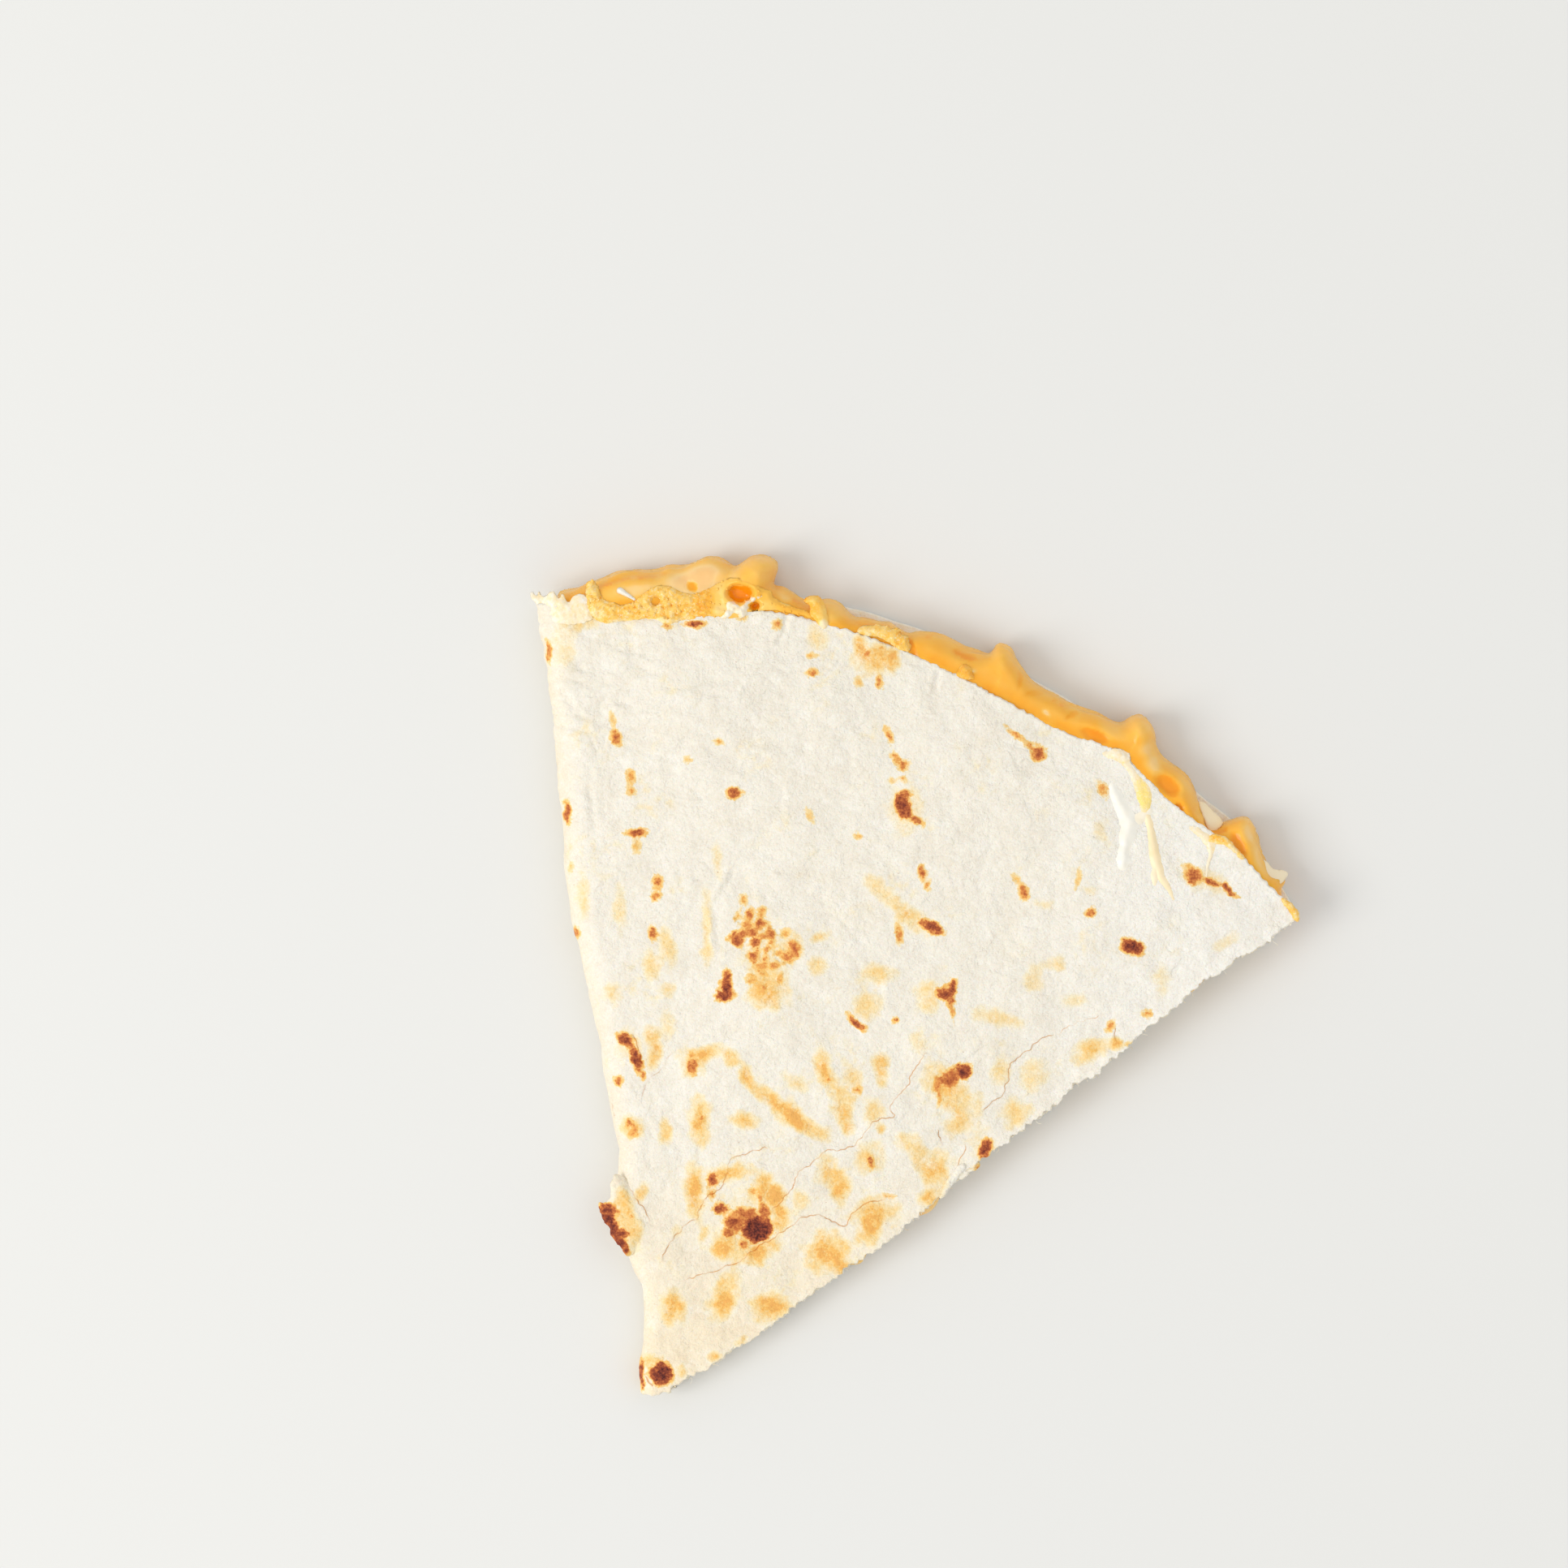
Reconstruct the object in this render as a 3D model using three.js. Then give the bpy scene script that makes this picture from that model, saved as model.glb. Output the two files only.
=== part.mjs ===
// One wedge of a folded quesadilla: a flour tortilla folded once over melted cheese and cut in three.
// Millimetres and degrees, +Z up. The wedge lies flat: its fold is on the left, its cut side on the
// right and its rounded rim, where the cheese runs out, at the back. Every piece is worked out round
// the tip, from a reach (distance from the tip) and a share (0 at the fold, 1 at the cut side), and
// the group is then centred.
import * as THREE from "three";

const DEG = Math.PI / 180;

// Driving sizes
const wedge = {
  foldHeading: 97.75, // direction of the fold, from +X
  spread: 61.2, // angle between the fold and the cut
  length: 126,
  clearance: 0.32, // between pieces that touch
  // how far the knife strayed outwards of the straight cut, at even steps from the tip to the rim
  cutBow: [1.2, 2.9, 3.6, 3.2, 2.2, 1.6, 1.0, 0.1, 1.0],
  bluntFold: [0.6, -0.4], // the blunt tip: its fold and cut corners, along and across the fold
  bluntCut: [0.2, 3.0],
  bluntFade: 14,
};
const tortilla = {
  thickness: 2.0,
  // reach of each leaf from the tip, at even steps from the fold to the cut
  topReach: [124.4, 124.4, 124.6, 123.8, 122.7, 122.3, 124.1, 125.5, 126.3],
  bottomReach: [126.2, 127.4, 127.6, 127.5, 127.4, 127.6, 127.4, 128.8, 127.4],
  foldRadiusTip: 2.1, // middle of the sheet, at the tip and at the rim
  foldRadiusRim: 3.3,
  foldGrowsOver: 60,
  belly: 1.5, // how far the filling lifts the top leaf above the fold
  bellyRun: 22, // distance from the fold over which it rises
  bellyStart: 8, // reach at which it begins
  bellyGrowsOver: 50,
  rimSag: 0.9, // how far the top leaf sags again at its rim
  rimSagWidth: 14,
  cutSag: 0.8, // and at its cut side
  cutSagWidth: 16,
  ripple: 0.22, // height of the leaf's soft waves
  rippleAlong: [0.13, 0.05], // turn of the waves, in radians for each mm along and across the fold
  rippleAcross: 0.16,
};
const ear = { at: 30.8, reach: 4.1, towardsTip: 9.5, towardsRim: 4.6 }; // torn part of the fold
const neck = { at: 15.5, inset: 1.5, width: 6.5 }; // pinched place beside the tip
const filling = {
  start: 8, // reach at which the cheese begins
  cutRecess: 0.6, // cheese behind the cut side
  edgeRound: 1.2,
  spill: 3.0, // how far the cheese stands out past the top leaf
  beadBelow: 0.45, // crest of the spilled cheese below the top face
  outerHeight: 2.4, // height of its outer edge above the bottom leaf
  outerHalf: 0.25, // half the thickness of that edge
  leastSpill: 0.8,
  cutFullness: 0.8, // share of its full height at the cut side
};
// Lobes of cheese along the rim: angle from the fold, reach past the spill, half width at half reach
const lobes = [
  { at: 8.0, reach: 2.0, width: 4.5 },
  { at: 12.2, reach: 2.2, width: 2.6 },
  { at: 15.3, reach: 5.0, width: 1.7 },
  { at: 20.3, reach: 1.1, width: 2.2 },
  { at: 33.2, reach: 3.9, width: 1.9 },
  { at: 44.1, reach: 4.0, width: 2.4 },
  { at: 49.0, reach: 1.5, width: 2.0 },
  { at: 54.2, reach: 2.6, width: 1.7 },
];
const spillShare = [0.15, 0.9, 1, 1, 1.15, 1.45, 1, 0.35, 0.1]; // share of the spill, fold to cut
// Bubbled crust over the rim, between two angles from the fold and two reaches
const crust = {
  from: -1.2,
  to: 18.5,
  inner: 122.0,
  outer: 128.4,
  edge: 0.4,
  height: 1.5,
  waves: 6,
  narrowEnd: 0.35,
};
// Strips of cheese on the top leaf: middle line in X and Y from the tip
const strip = { edge: 0.25, narrowEnd: 0.45, lowEnd: 0.4 };
const rimShred = { line: [[32.6, 120.6], [37.2, 118.9], [41.4, 116.4]], width: 4.2, height: 0.9 };
const paleStrand = { line: [[73, 94.9], [75.4, 91.2], [75.1, 87.4], [74.5, 83.2]], width: 2, height: 1 };
const goldStrand = { line: [[78, 96.3], [78.6, 91], [79.8, 85.2], [82.1, 78.2]], width: 1.9, height: 0.8 };

const mix = (a, b, t) => a + (b - a) * t;
const clamp01 = (t) => Math.min(1, Math.max(0, t));
const ease = (t) => clamp01(t) ** 2 * (3 - 2 * clamp01(t));
const dome = (x) => (Math.abs(x) < 1 ? Math.cos((x * Math.PI) / 2) : 0);
const hump = (x) => dome(x) ** 2;

// A smooth value through a list that is spread evenly over 0 to 1
function along(list, t) {
  const x = clamp01(t) * (list.length - 1);
  const i = Math.min(list.length - 2, Math.floor(x));
  const at = (k) => list[Math.min(list.length - 1, Math.max(0, k))];
  const [p, q, r, s] = [at(i - 1), at(i), at(i + 1), at(i + 2)];
  const f = x - i;
  return q + 0.5 * f * (r - p + f * (2 * p - 5 * q + 4 * r - s + f * (3 * (q - r) + s - p)));
}

const sheetHalf = tortilla.thickness / 2;
const spreadRad = wedge.spread * DEG;
const cutBow = (r) => along(wedge.cutBow, r / wedge.length);
const bluntness = (r) => 1 - ease(r / wedge.bluntFade);

// Where the fold is pinched or bulges, as a distance inwards from the straight fold line
function foldShift(r) {
  const side = r < ear.at ? ear.towardsTip : ear.towardsRim;
  return neck.inset * hump((r - neck.at) / neck.width) - ear.reach * hump((r - ear.at) / side);
}

// Place in the plan, along and across the fold, of a reach and a share
function planOf(r, share) {
  const angle = share * spreadRad;
  const bow = share * cutBow(r);
  const fade = bluntness(r);
  const blunt = wedge.bluntFold.map((fold, k) => mix(fold, wedge.bluntCut[k], share) * fade);
  return [
    r * Math.cos(angle) - bow * Math.sin(spreadRad) + blunt[0],
    r * Math.sin(angle) + bow * Math.cos(spreadRad) + blunt[1] + (1 - share) * foldShift(r),
  ];
}
const acrossWidth = (r) => planOf(r, 1)[1] - planOf(r, 0)[1];

// The share at which a point lies a distance in from the fold's outside
function shareInFrom(r, distance) {
  let [low, high] = [0, 1];
  for (let k = 0; k < 24; k++) {
    const share = (low + high) / 2;
    if (planOf(r, share)[1] - planOf(r, 0)[1] < distance) low = share;
    else high = share;
  }
  return (low + high) / 2;
}

function foldRadius(r) {
  const full = mix(tortilla.foldRadiusTip, tortilla.foldRadiusRim, ease(r / tortilla.foldGrowsOver));
  return Math.min(full, 0.45 * acrossWidth(r)); // near the tip there is no room for more
}

// Middle of the top leaf above the table
function topMiddle(r, share) {
  const radius = foldRadius(r);
  const [a, d] = planOf(r, share);
  const inFromFold = d - planOf(r, 0)[1] - radius;
  const reach = along(tortilla.topReach, share);
  const rim = 1 - ease((reach - r) / tortilla.rimSagWidth);
  const cut = 1 - ease((r * Math.sin((1 - share) * spreadRad)) / tortilla.cutSagWidth);
  const [alongFold, acrossFold] = tortilla.rippleAlong;
  const wave = Math.sin(a * alongFold + d * acrossFold) * Math.cos(d * tortilla.rippleAcross);
  const ripple = tortilla.ripple * wave;
  const lift = tortilla.belly + ripple - tortilla.rimSag * rim - tortilla.cutSag * cut;
  const grown = ease((r - tortilla.bellyStart) / tortilla.bellyGrowsOver);
  return sheetHalf + 2 * radius + lift * ease(inFromFold / tortilla.bellyRun) * grown;
}
const topFace = (r, share) => topMiddle(r, share) + sheetHalf;

const foldDirection = new THREE.Vector2(Math.cos(wedge.foldHeading * DEG), Math.sin(wedge.foldHeading * DEG));
const acrossDirection = new THREE.Vector2(foldDirection.y, -foldDirection.x);
function place([a, d], z) {
  const plan = foldDirection.clone().multiplyScalar(a).addScaledVector(acrossDirection, d);
  return new THREE.Vector3(plan.x, plan.y, z);
}

// Reach and share of a point of the plan well away from the tip
function reachAndShare(x, y) {
  const p = new THREE.Vector2(x, y);
  const angle = Math.atan2(p.dot(acrossDirection), p.dot(foldDirection));
  return [p.length(), clamp01(angle / (spreadRad + cutBow(p.length()) / p.length()))];
}

// A closed solid between two grids of points, which share their plan or lie side by side
function solidBetween(columns, rows, upper, lower) {
  const width = columns + 1;
  const count = width * (rows + 1);
  const positions = [];
  const faces = [];
  for (const sheet of [upper, lower])
    for (let j = 0; j <= rows; j++)
      for (let i = 0; i <= columns; i++) positions.push(...sheet(i, j).toArray());
  const quad = (a, b, c, d) => faces.push(a, b, c, a, c, d);
  for (let j = 0; j < rows; j++)
    for (let i = 0; i < columns; i++) {
      const k = j * width + i;
      quad(k, k + 1, k + width + 1, k + width);
      quad(count + k, count + k + width, count + k + width + 1, count + k + 1);
    }
  const wall = (a, b) => quad(a, a + count, b + count, b);
  for (let i = 0; i < columns; i++) {
    wall(i, i + 1);
    wall(rows * width + i + 1, rows * width + i);
  }
  for (let j = 0; j < rows; j++) {
    wall((j + 1) * width, j * width);
    wall(j * width + columns, (j + 1) * width + columns);
  }
  const geometry = new THREE.BufferGeometry();
  geometry.setAttribute("position", new THREE.Float32BufferAttribute(positions, 3));
  geometry.setIndex(faces);
  geometry.computeVertexNormals();
  return geometry;
}

// The tortilla: bottom leaf, half turn round the fold, top leaf, as one bent sheet
function tortillaGeometry() {
  const leafSteps = 12;
  const foldSteps = 10;
  const columns = 2 * leafSteps + foldSteps;
  const rows = 28;
  // Middle of the sheet at column i (bottom cut side to top cut side) and row share v (tip to rim)
  function middle(i, v) {
    const inFold = i >= leafSteps && i <= leafSteps + foldSteps;
    const turn = inFold ? ((i - leafSteps) / foldSteps - 0.5) * Math.PI : 0;
    const isTop = i > leafSteps + foldSteps / 2;
    const leafShare = inFold ? 0 : (isTop ? i - leafSteps - foldSteps : leafSteps - i) / leafSteps;
    const topWeight = inFold ? turn / Math.PI + 0.5 : Number(isTop);
    const reach = mix(along(tortilla.bottomReach, leafShare), along(tortilla.topReach, leafShare), topWeight);
    const r = v * reach;
    const radius = foldRadius(r);
    const tangent = shareInFrom(r, radius);
    if (!inFold) {
      const share = mix(tangent, 1, leafShare);
      return place(planOf(r, share), isTop ? topMiddle(r, share) : sheetHalf);
    }
    const [outside, inside] = [planOf(r, 0), planOf(r, tangent)];
    const plan = outside.map((p, k) => mix(p, inside[k], 1 - Math.cos(turn)));
    return place(plan, sheetHalf + radius * (1 + Math.sin(turn)));
  }
  function offset(i, j, side) {
    const v = j / rows;
    const across = middle(Math.min(columns, i + 0.5), v).sub(middle(Math.max(0, i - 0.5), v));
    const outwards = middle(i, Math.min(1, v + 0.01)).sub(middle(i, Math.max(0, v - 0.01)));
    const normal = across.cross(outwards).normalize();
    return middle(i, v).addScaledVector(normal, side * sheetHalf);
  }
  return solidBetween(columns, rows, (i, j) => offset(i, j, 1), (i, j) => offset(i, j, -1));
}

// How far the cheese stands out past the top leaf
function spillAt(share) {
  const angle = share * wedge.spread;
  const lobe = lobes.reduce((sum, l) => sum + l.reach * dome((angle - l.at) / (1.35 * l.width)), 0);
  return filling.spill * along(spillShare, share) + lobe;
}

// The melted cheese: it fills the space between the leaves and runs out in lobes at the rim
function fillingGeometry() {
  const columns = 50;
  const inside = [0, 0.02, 0.06, 0.15, 0.27, 0.41, 0.55, 0.69, 0.81, 0.9, 0.96, 1];
  const spilled = [0, 0.05, 0.3, 0.62, 0.86, 1]; // from the foot of the step past the leaf to the edge
  const rows = inside.length + spilled.length - 1;
  const gap = wedge.clearance;
  function station(i, j) {
    const even = i / columns;
    const across = mix(even, 0.5 - 0.5 * Math.cos(Math.PI * even), 0.6); // closer together at both sides
    const leafRim = along(tortilla.topReach, across);
    const past = j >= inside.length;
    const beyond = past ? spilled[j - inside.length] : 0;
    const r = past
      ? leafRim + gap + beyond * Math.max(filling.leastSpill, spillAt(across))
      : mix(filling.start, leafRim - gap, inside[j]);
    const near = shareInFrom(r, tortilla.thickness + gap);
    const far = 1 - filling.cutRecess / acrossWidth(r);
    const share = mix(near, far, across);
    return { r, share, past, beyond, across };
  }
  function heights(s) {
    const radius = foldRadius(s.r);
    const low = tortilla.thickness + gap;
    const under = topMiddle(s.r, s.share) - sheetHalf - gap;
    const crest = topFace(s.r, s.share) - filling.beadBelow;
    const high = s.beyond > 0 ? mix(crest, low + filling.outerHeight, s.beyond ** 2) : under;
    const fromFold = planOf(s.r, s.share)[1] - planOf(s.r, 0)[1];
    const level = fromFold < radius ? sheetHalf + radius : (low + high) / 2;
    // the hollow of the fold, the cut side and the spill each round the cheese off
    const hollow = radius - sheetHalf - 1.5 * gap;
    const fromMiddle = Math.max(0, radius - fromFold);
    const room = fromFold < 1.5 * radius ? Math.sqrt(Math.max(0, hollow ** 2 - fromMiddle ** 2)) : Infinity;
    const edgeRun = Math.min((1 - s.across) * acrossWidth(s.r), s.r - filling.start);
    const round = mix(filling.cutFullness, 1, Math.sqrt(1 - (1 - clamp01(edgeRun / filling.edgeRound)) ** 2));
    const outer = s.past ? Math.sqrt(Math.max(0, 1 - s.beyond ** 4)) : 1;
    const up = Math.min((high - level) * round * outer, room);
    const down = Math.min((level - low) * round * mix(0.7, 1, outer), room);
    return [level + Math.max(filling.outerHalf, up), level - Math.max(filling.outerHalf, down)];
  }
  const point = (i, j, side) => {
    const s = station(i, j);
    return place(planOf(s.r, s.share), heights(s)[side]);
  };
  return solidBetween(columns, rows, (i, j) => point(i, j, 0), (i, j) => point(i, j, 1));
}

// Bubbled crust of cheese that fried on over the rim, from the fold to the big lobe
function crustGeometry() {
  const columns = 28;
  const rows = 6;
  function point(i, j, upper) {
    const u = i / columns;
    const v = j / rows;
    const share = mix(crust.from, crust.to, u) / wedge.spread;
    const taper = mix(crust.narrowEnd, 1, hump(2 * u - 1) ** 0.4);
    const wave = hump(Math.sin(u * crust.waves * Math.PI));
    const r = mix(crust.inner + 1 - taper, mix(crust.inner, crust.outer + wave, taper), v);
    const supported = Math.max(share, shareInFrom(r, foldRadius(r)));
    const base = topFace(Math.min(r, wedge.length), supported) + wedge.clearance;
    const body = hump(2 * v - 1) ** 0.5 * hump(2 * u - 1) ** 0.3;
    return place(planOf(r, share), upper ? base + crust.edge + crust.height * body : base);
  }
  return solidBetween(columns, rows, (i, j) => point(i, j, true), (i, j) => point(i, j, false));
}

// A strip of cheese that lies on the top leaf along a line
function stripGeometry({ line, width, height }) {
  const columns = 6;
  const rows = 10;
  const curve = new THREE.CatmullRomCurve3(line.map(([x, y]) => new THREE.Vector3(x, y, 0)));
  function point(i, j, upper) {
    const u = j / rows;
    const v = (2 * i) / columns - 1;
    const taper = Math.sqrt(1 - (2 * u - 1) ** 2);
    const centre = curve.getPoint(u);
    const side = curve.getTangent(u).cross(new THREE.Vector3(0, 0, 1)).normalize();
    centre.addScaledVector(side, v * (width / 2) * mix(strip.narrowEnd, 1, taper));
    const base = topFace(...reachAndShare(centre.x, centre.y)) + wedge.clearance;
    const body = Math.sqrt(1 - v * v) * mix(strip.lowEnd, 1, taper);
    return centre.setZ(upper ? mix(base + strip.edge, base + height, body) : base);
  }
  return solidBetween(columns, rows, (i, j) => point(i, j, true), (i, j) => point(i, j, false));
}

function piece(name, geometry, color, roughness) {
  const mesh = new THREE.Mesh(geometry, new THREE.MeshStandardMaterial({ color, roughness, metalness: 0 }));
  mesh.name = name;
  return mesh;
}

const quesadilla = new THREE.Group();
quesadilla.add(
  piece("tortilla", tortillaGeometry(), 0xf3ead6, 0.85),
  piece("cheese_filling", fillingGeometry(), 0xf6a23a, 0.3),
  piece("cheese_crust", crustGeometry(), 0xf7c050, 0.45),
  piece("cheese_shred_rim", stripGeometry(rimShred), 0xf8dc8a, 0.4),
  piece("cheese_strand_pale", stripGeometry(paleStrand), 0xfbf3dc, 0.45),
  piece("cheese_strand_gold", stripGeometry(goldStrand), 0xfbe0a0, 0.4),
);

// The origin is the middle of the wedge's box, on the table
const box = new THREE.Box3().setFromObject(quesadilla, true);
const middle = box.getCenter(new THREE.Vector3());
quesadilla.position.set(-middle.x, -middle.y, -box.min.z);

export default quesadilla;
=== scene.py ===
import math

import bmesh
import bpy
import numpy as np
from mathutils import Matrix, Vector, kdtree
from mathutils.geometry import delaunay_2d_cdt


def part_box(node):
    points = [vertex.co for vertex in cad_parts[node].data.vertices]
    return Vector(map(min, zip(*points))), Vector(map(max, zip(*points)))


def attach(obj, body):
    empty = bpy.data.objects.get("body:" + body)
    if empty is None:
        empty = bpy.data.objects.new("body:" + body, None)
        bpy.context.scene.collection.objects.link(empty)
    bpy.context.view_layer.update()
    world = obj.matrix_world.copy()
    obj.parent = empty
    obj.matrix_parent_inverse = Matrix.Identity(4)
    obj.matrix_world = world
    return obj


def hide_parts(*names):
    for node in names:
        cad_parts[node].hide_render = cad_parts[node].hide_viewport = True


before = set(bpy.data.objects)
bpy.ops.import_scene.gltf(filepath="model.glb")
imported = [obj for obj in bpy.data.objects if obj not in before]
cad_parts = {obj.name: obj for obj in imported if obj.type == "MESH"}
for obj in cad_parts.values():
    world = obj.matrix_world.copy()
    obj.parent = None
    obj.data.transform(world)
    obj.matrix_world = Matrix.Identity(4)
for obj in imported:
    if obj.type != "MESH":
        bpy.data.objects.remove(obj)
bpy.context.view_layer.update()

# Shapes are worked out in millimetres round the wedge's tip: x to the right, y towards the rim,
# z up from the table. toFrame puts them in the frame, in metres.
mm = 0.001
tipFromCorner = (17.89, 0.93)
tipAt = [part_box("tortilla")[0][k] / mm + tipFromCorner[k] for k in (0, 1)]


def toFrame(points):
    return (np.asarray(points) + [tipAt[0], tipAt[1], 0]) * mm


# small maths

def ease(t):
    t = np.clip(t, 0, 1)
    return t * t * (3 - 2 * t)


def mix(a, b, t):
    return a + (b - a) * t


def softMax(a, b, k):
    share = np.clip(0.5 + 0.5 * (a - b) / k, 0, 1)
    return mix(b, a, share) + k * share * (1 - share)


def latticeValue(ix, iy, seed):
    h = (ix * 374761393 + iy * 668265263 + seed * 974634777) & 0xFFFFFFFF
    h = ((h ^ (h >> 13)) * 1274126177) & 0xFFFFFFFF
    return (h ^ (h >> 16)) / 4294967296.0


def swirl(x, y, size, seed):
    # gradient noise, about -1 to 1, whose bumps are about size wide
    x, y = np.asarray(x) / size, np.asarray(y) / size
    ix, iy = np.floor(x).astype(np.int64), np.floor(y).astype(np.int64)
    fx, fy = x - ix, y - iy
    total = 0
    for dx in (0, 1):
        for dy in (0, 1):
            turn = latticeValue(ix + dx, iy + dy, seed) * 2 * math.pi
            slope = np.cos(turn) * (fx - dx) + np.sin(turn) * (fy - dy)
            wx = fx if dx else 1 - fx
            wy = fy if dy else 1 - fy
            total = total + (slope * wx ** 3 * (wx * (wx * 6 - 15) + 10)
                             * wy ** 3 * (wy * (wy * 6 - 15) + 10))
    return total * 1.5


def wave(run, row, size, seed):
    # the same noise along a line
    return swirl(run, 0 * run + row, size, seed)


def stirred(x, y, reach, size, seed):
    # places shifted a little, so that what is drawn with them is less even
    return x + reach * swirl(x, y, size, seed), y + reach * swirl(x, y, size, seed + 1)


def cloud(x, y, size, seed, octaves=3):
    total, weight = 0, 1.0
    for k in range(octaves):
        total = total + weight * swirl(x, y, size / 2 ** k, seed + 17 * k)
        weight *= 0.5
    return total / (2 - 2 * weight)


def bubbleField(x, y, size, seed):
    # distance to the nearest of scattered centres, in sizes, and that centre's own value
    x, y = np.asarray(x) / size, np.asarray(y) / size
    ix, iy = np.floor(x).astype(np.int64), np.floor(y).astype(np.int64)
    first = np.full(x.shape, 9.0)
    own = np.zeros(x.shape)
    for dx in (-1, 0, 1):
        for dy in (-1, 0, 1):
            cx = ix + dx + latticeValue(ix + dx, iy + dy, seed)
            cy = iy + dy + latticeValue(ix + dx, iy + dy, seed + 5)
            away = np.hypot(cx - x, cy - y)
            own = np.where(away < first, latticeValue(ix + dx, iy + dy, seed + 9), own)
            first = np.minimum(first, away)
    return first, own


def softLine(points, step, closed=False):
    # a smooth line through points, in even steps
    p = np.asarray(points, float)
    ends = [p[-1], *p, p[0], p[1]] if closed else [2 * p[0] - p[1], *p, 2 * p[-1] - p[-2]]
    fine = []
    for k in range(1, len(ends) - 2):
        a, b, c, d = ends[k - 1:k + 3]
        for t in np.linspace(0, 1, 24, endpoint=False):
            fine.append(b + 0.5 * t * (c - a + t * (2 * a - 5 * b + 4 * c - d + t * (3 * (b - c) + d - a))))
    fine.append(ends[-2])
    fine = np.array(fine)
    run = np.concatenate([[0], np.cumsum(np.hypot(*np.diff(fine, axis=0)[:, :2].T))])
    count = max(2, int(round(run[-1] / step)) + 1)
    at = np.linspace(0, run[-1], count)
    line = np.stack([np.interp(at, run, fine[:, k]) for k in range(fine.shape[1])], 1)
    return line[:-1] if closed else line


def sideOf(line):
    # unit vectors square to a line, to its right
    along = np.gradient(line, axis=0)
    along /= np.maximum(1e-9, np.hypot(*along.T))[:, None]
    return np.stack([along[:, 1], -along[:, 0]], 1)


def distanceTo(line, x, y):
    # signed distance to a line of points, positive on its right, and the share of the way along it
    line = np.asarray(line, float)
    best = np.full(np.shape(x), 1e9)
    signed = np.zeros(np.shape(x))
    share = np.zeros(np.shape(x))
    pieces = len(line) - 1
    for k in range(pieces):
        ax, ay = line[k]
        bx, by = line[k + 1] - line[k]
        t = np.clip(((x - ax) * bx + (y - ay) * by) / (bx * bx + by * by + 1e-12), 0, 1)
        away = np.hypot(x - ax - t * bx, y - ay - t * by)
        side = np.sign((x - ax) * by - (y - ay) * bx)
        nearer = away < best
        best = np.where(nearer, away, best)
        signed = np.where(nearer, away * side, signed)
        share = np.where(nearer, (k + t) / pieces, share)
    return signed, share


def closeTo(x, y, spot, reach):
    return (np.abs(x - spot[0]) < reach) & (np.abs(y - spot[1]) < reach)


def boxedBy(x, y, line, margin):
    low, high = line.min(0) - margin, line.max(0) + margin
    return (x > low[0]) & (x < high[0]) & (y > low[1]) & (y < high[1])


def ovalShare(x, y, oval):
    # 0 in the middle of an oval and 1 on its edge
    px, py, width, height, turn = oval[:5]
    t = math.radians(turn)
    dx, dy = x - px, y - py
    u = (dx * math.cos(t) + dy * math.sin(t)) / (width / 2)
    v = (-dx * math.sin(t) + dy * math.cos(t)) / (height / 2)
    return np.hypot(u, v)


def retoned(value, x, y, ovals, start, run):
    # a value that turns into each oval's own, its last number, towards the oval's middle
    for oval in ovals:
        value = mix(value, oval[-1], 1 - ease((ovalShare(x, y, oval) - start) / run))
    return value


def inwardOf(ring):
    # unit vectors square to a ring, to its inside
    along = np.roll(ring, -1, 0) - np.roll(ring, 1, 0)
    inward = np.stack([along[:, 1], -along[:, 0]], 1)
    return inward / np.maximum(1e-9, np.hypot(*inward.T))[:, None]


def frayed(ring, step, deep, seed):
    run = np.arange(len(ring)) * step
    teeth = wave(run, 0, 1.1, seed) + 0.6 * wave(run, 0, 0.5, seed + 1)
    return ring + inwardOf(ring) * (deep * teeth)[:, None]


# meshes

def evenPoints(low, high, step, seed):
    # a slightly shaken triangular lattice over a box
    rise = step * math.sqrt(0.75)
    rows = int((high[1] - low[1]) / rise) + 1
    columns = int((high[0] - low[0]) / step) + 1
    j, i = np.mgrid[0:rows, 0:columns]
    x = low[0] + step * (i + 0.5 * (j % 2))
    y = low[1] + rise * j
    shakeX = latticeValue(i + 7, j + 3, seed) - 0.5
    shakeY = latticeValue(i + 7, j + 3, seed + 1) - 0.5
    return np.stack([(x + 0.3 * step * shakeX).ravel(), (y + 0.3 * step * shakeY).ravel()], 1)


def treeOf(points):
    tree = kdtree.KDTree(len(points))
    for k, p in enumerate(points):
        tree.insert((p[0], p[1], 0), k)
    tree.balance()
    return tree


def clearOf(points, tree, gap):
    return np.array([p for p in points if tree.find((p[0], p[1], 0))[2] > gap])


def isInside(points, rings):
    # which points lie inside closed rings; a ring within a ring is a hole
    order = np.argsort(points[:, 1])
    x, y = points[order, 0], points[order, 1]
    odd = np.zeros(len(points), bool)
    for ring in rings:
        for (ax, ay), (bx, by) in zip(ring, np.roll(ring, -1, 0)):
            first, last = np.searchsorted(y, (min(ay, by), max(ay, by)))
            if last > first:
                crossing = ax + (bx - ax) * (y[first:last] - ay) / (by - ay)
                odd[first:last] ^= x[first:last] < crossing
    result = np.zeros(len(points), bool)
    result[order] = odd
    return result


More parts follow.
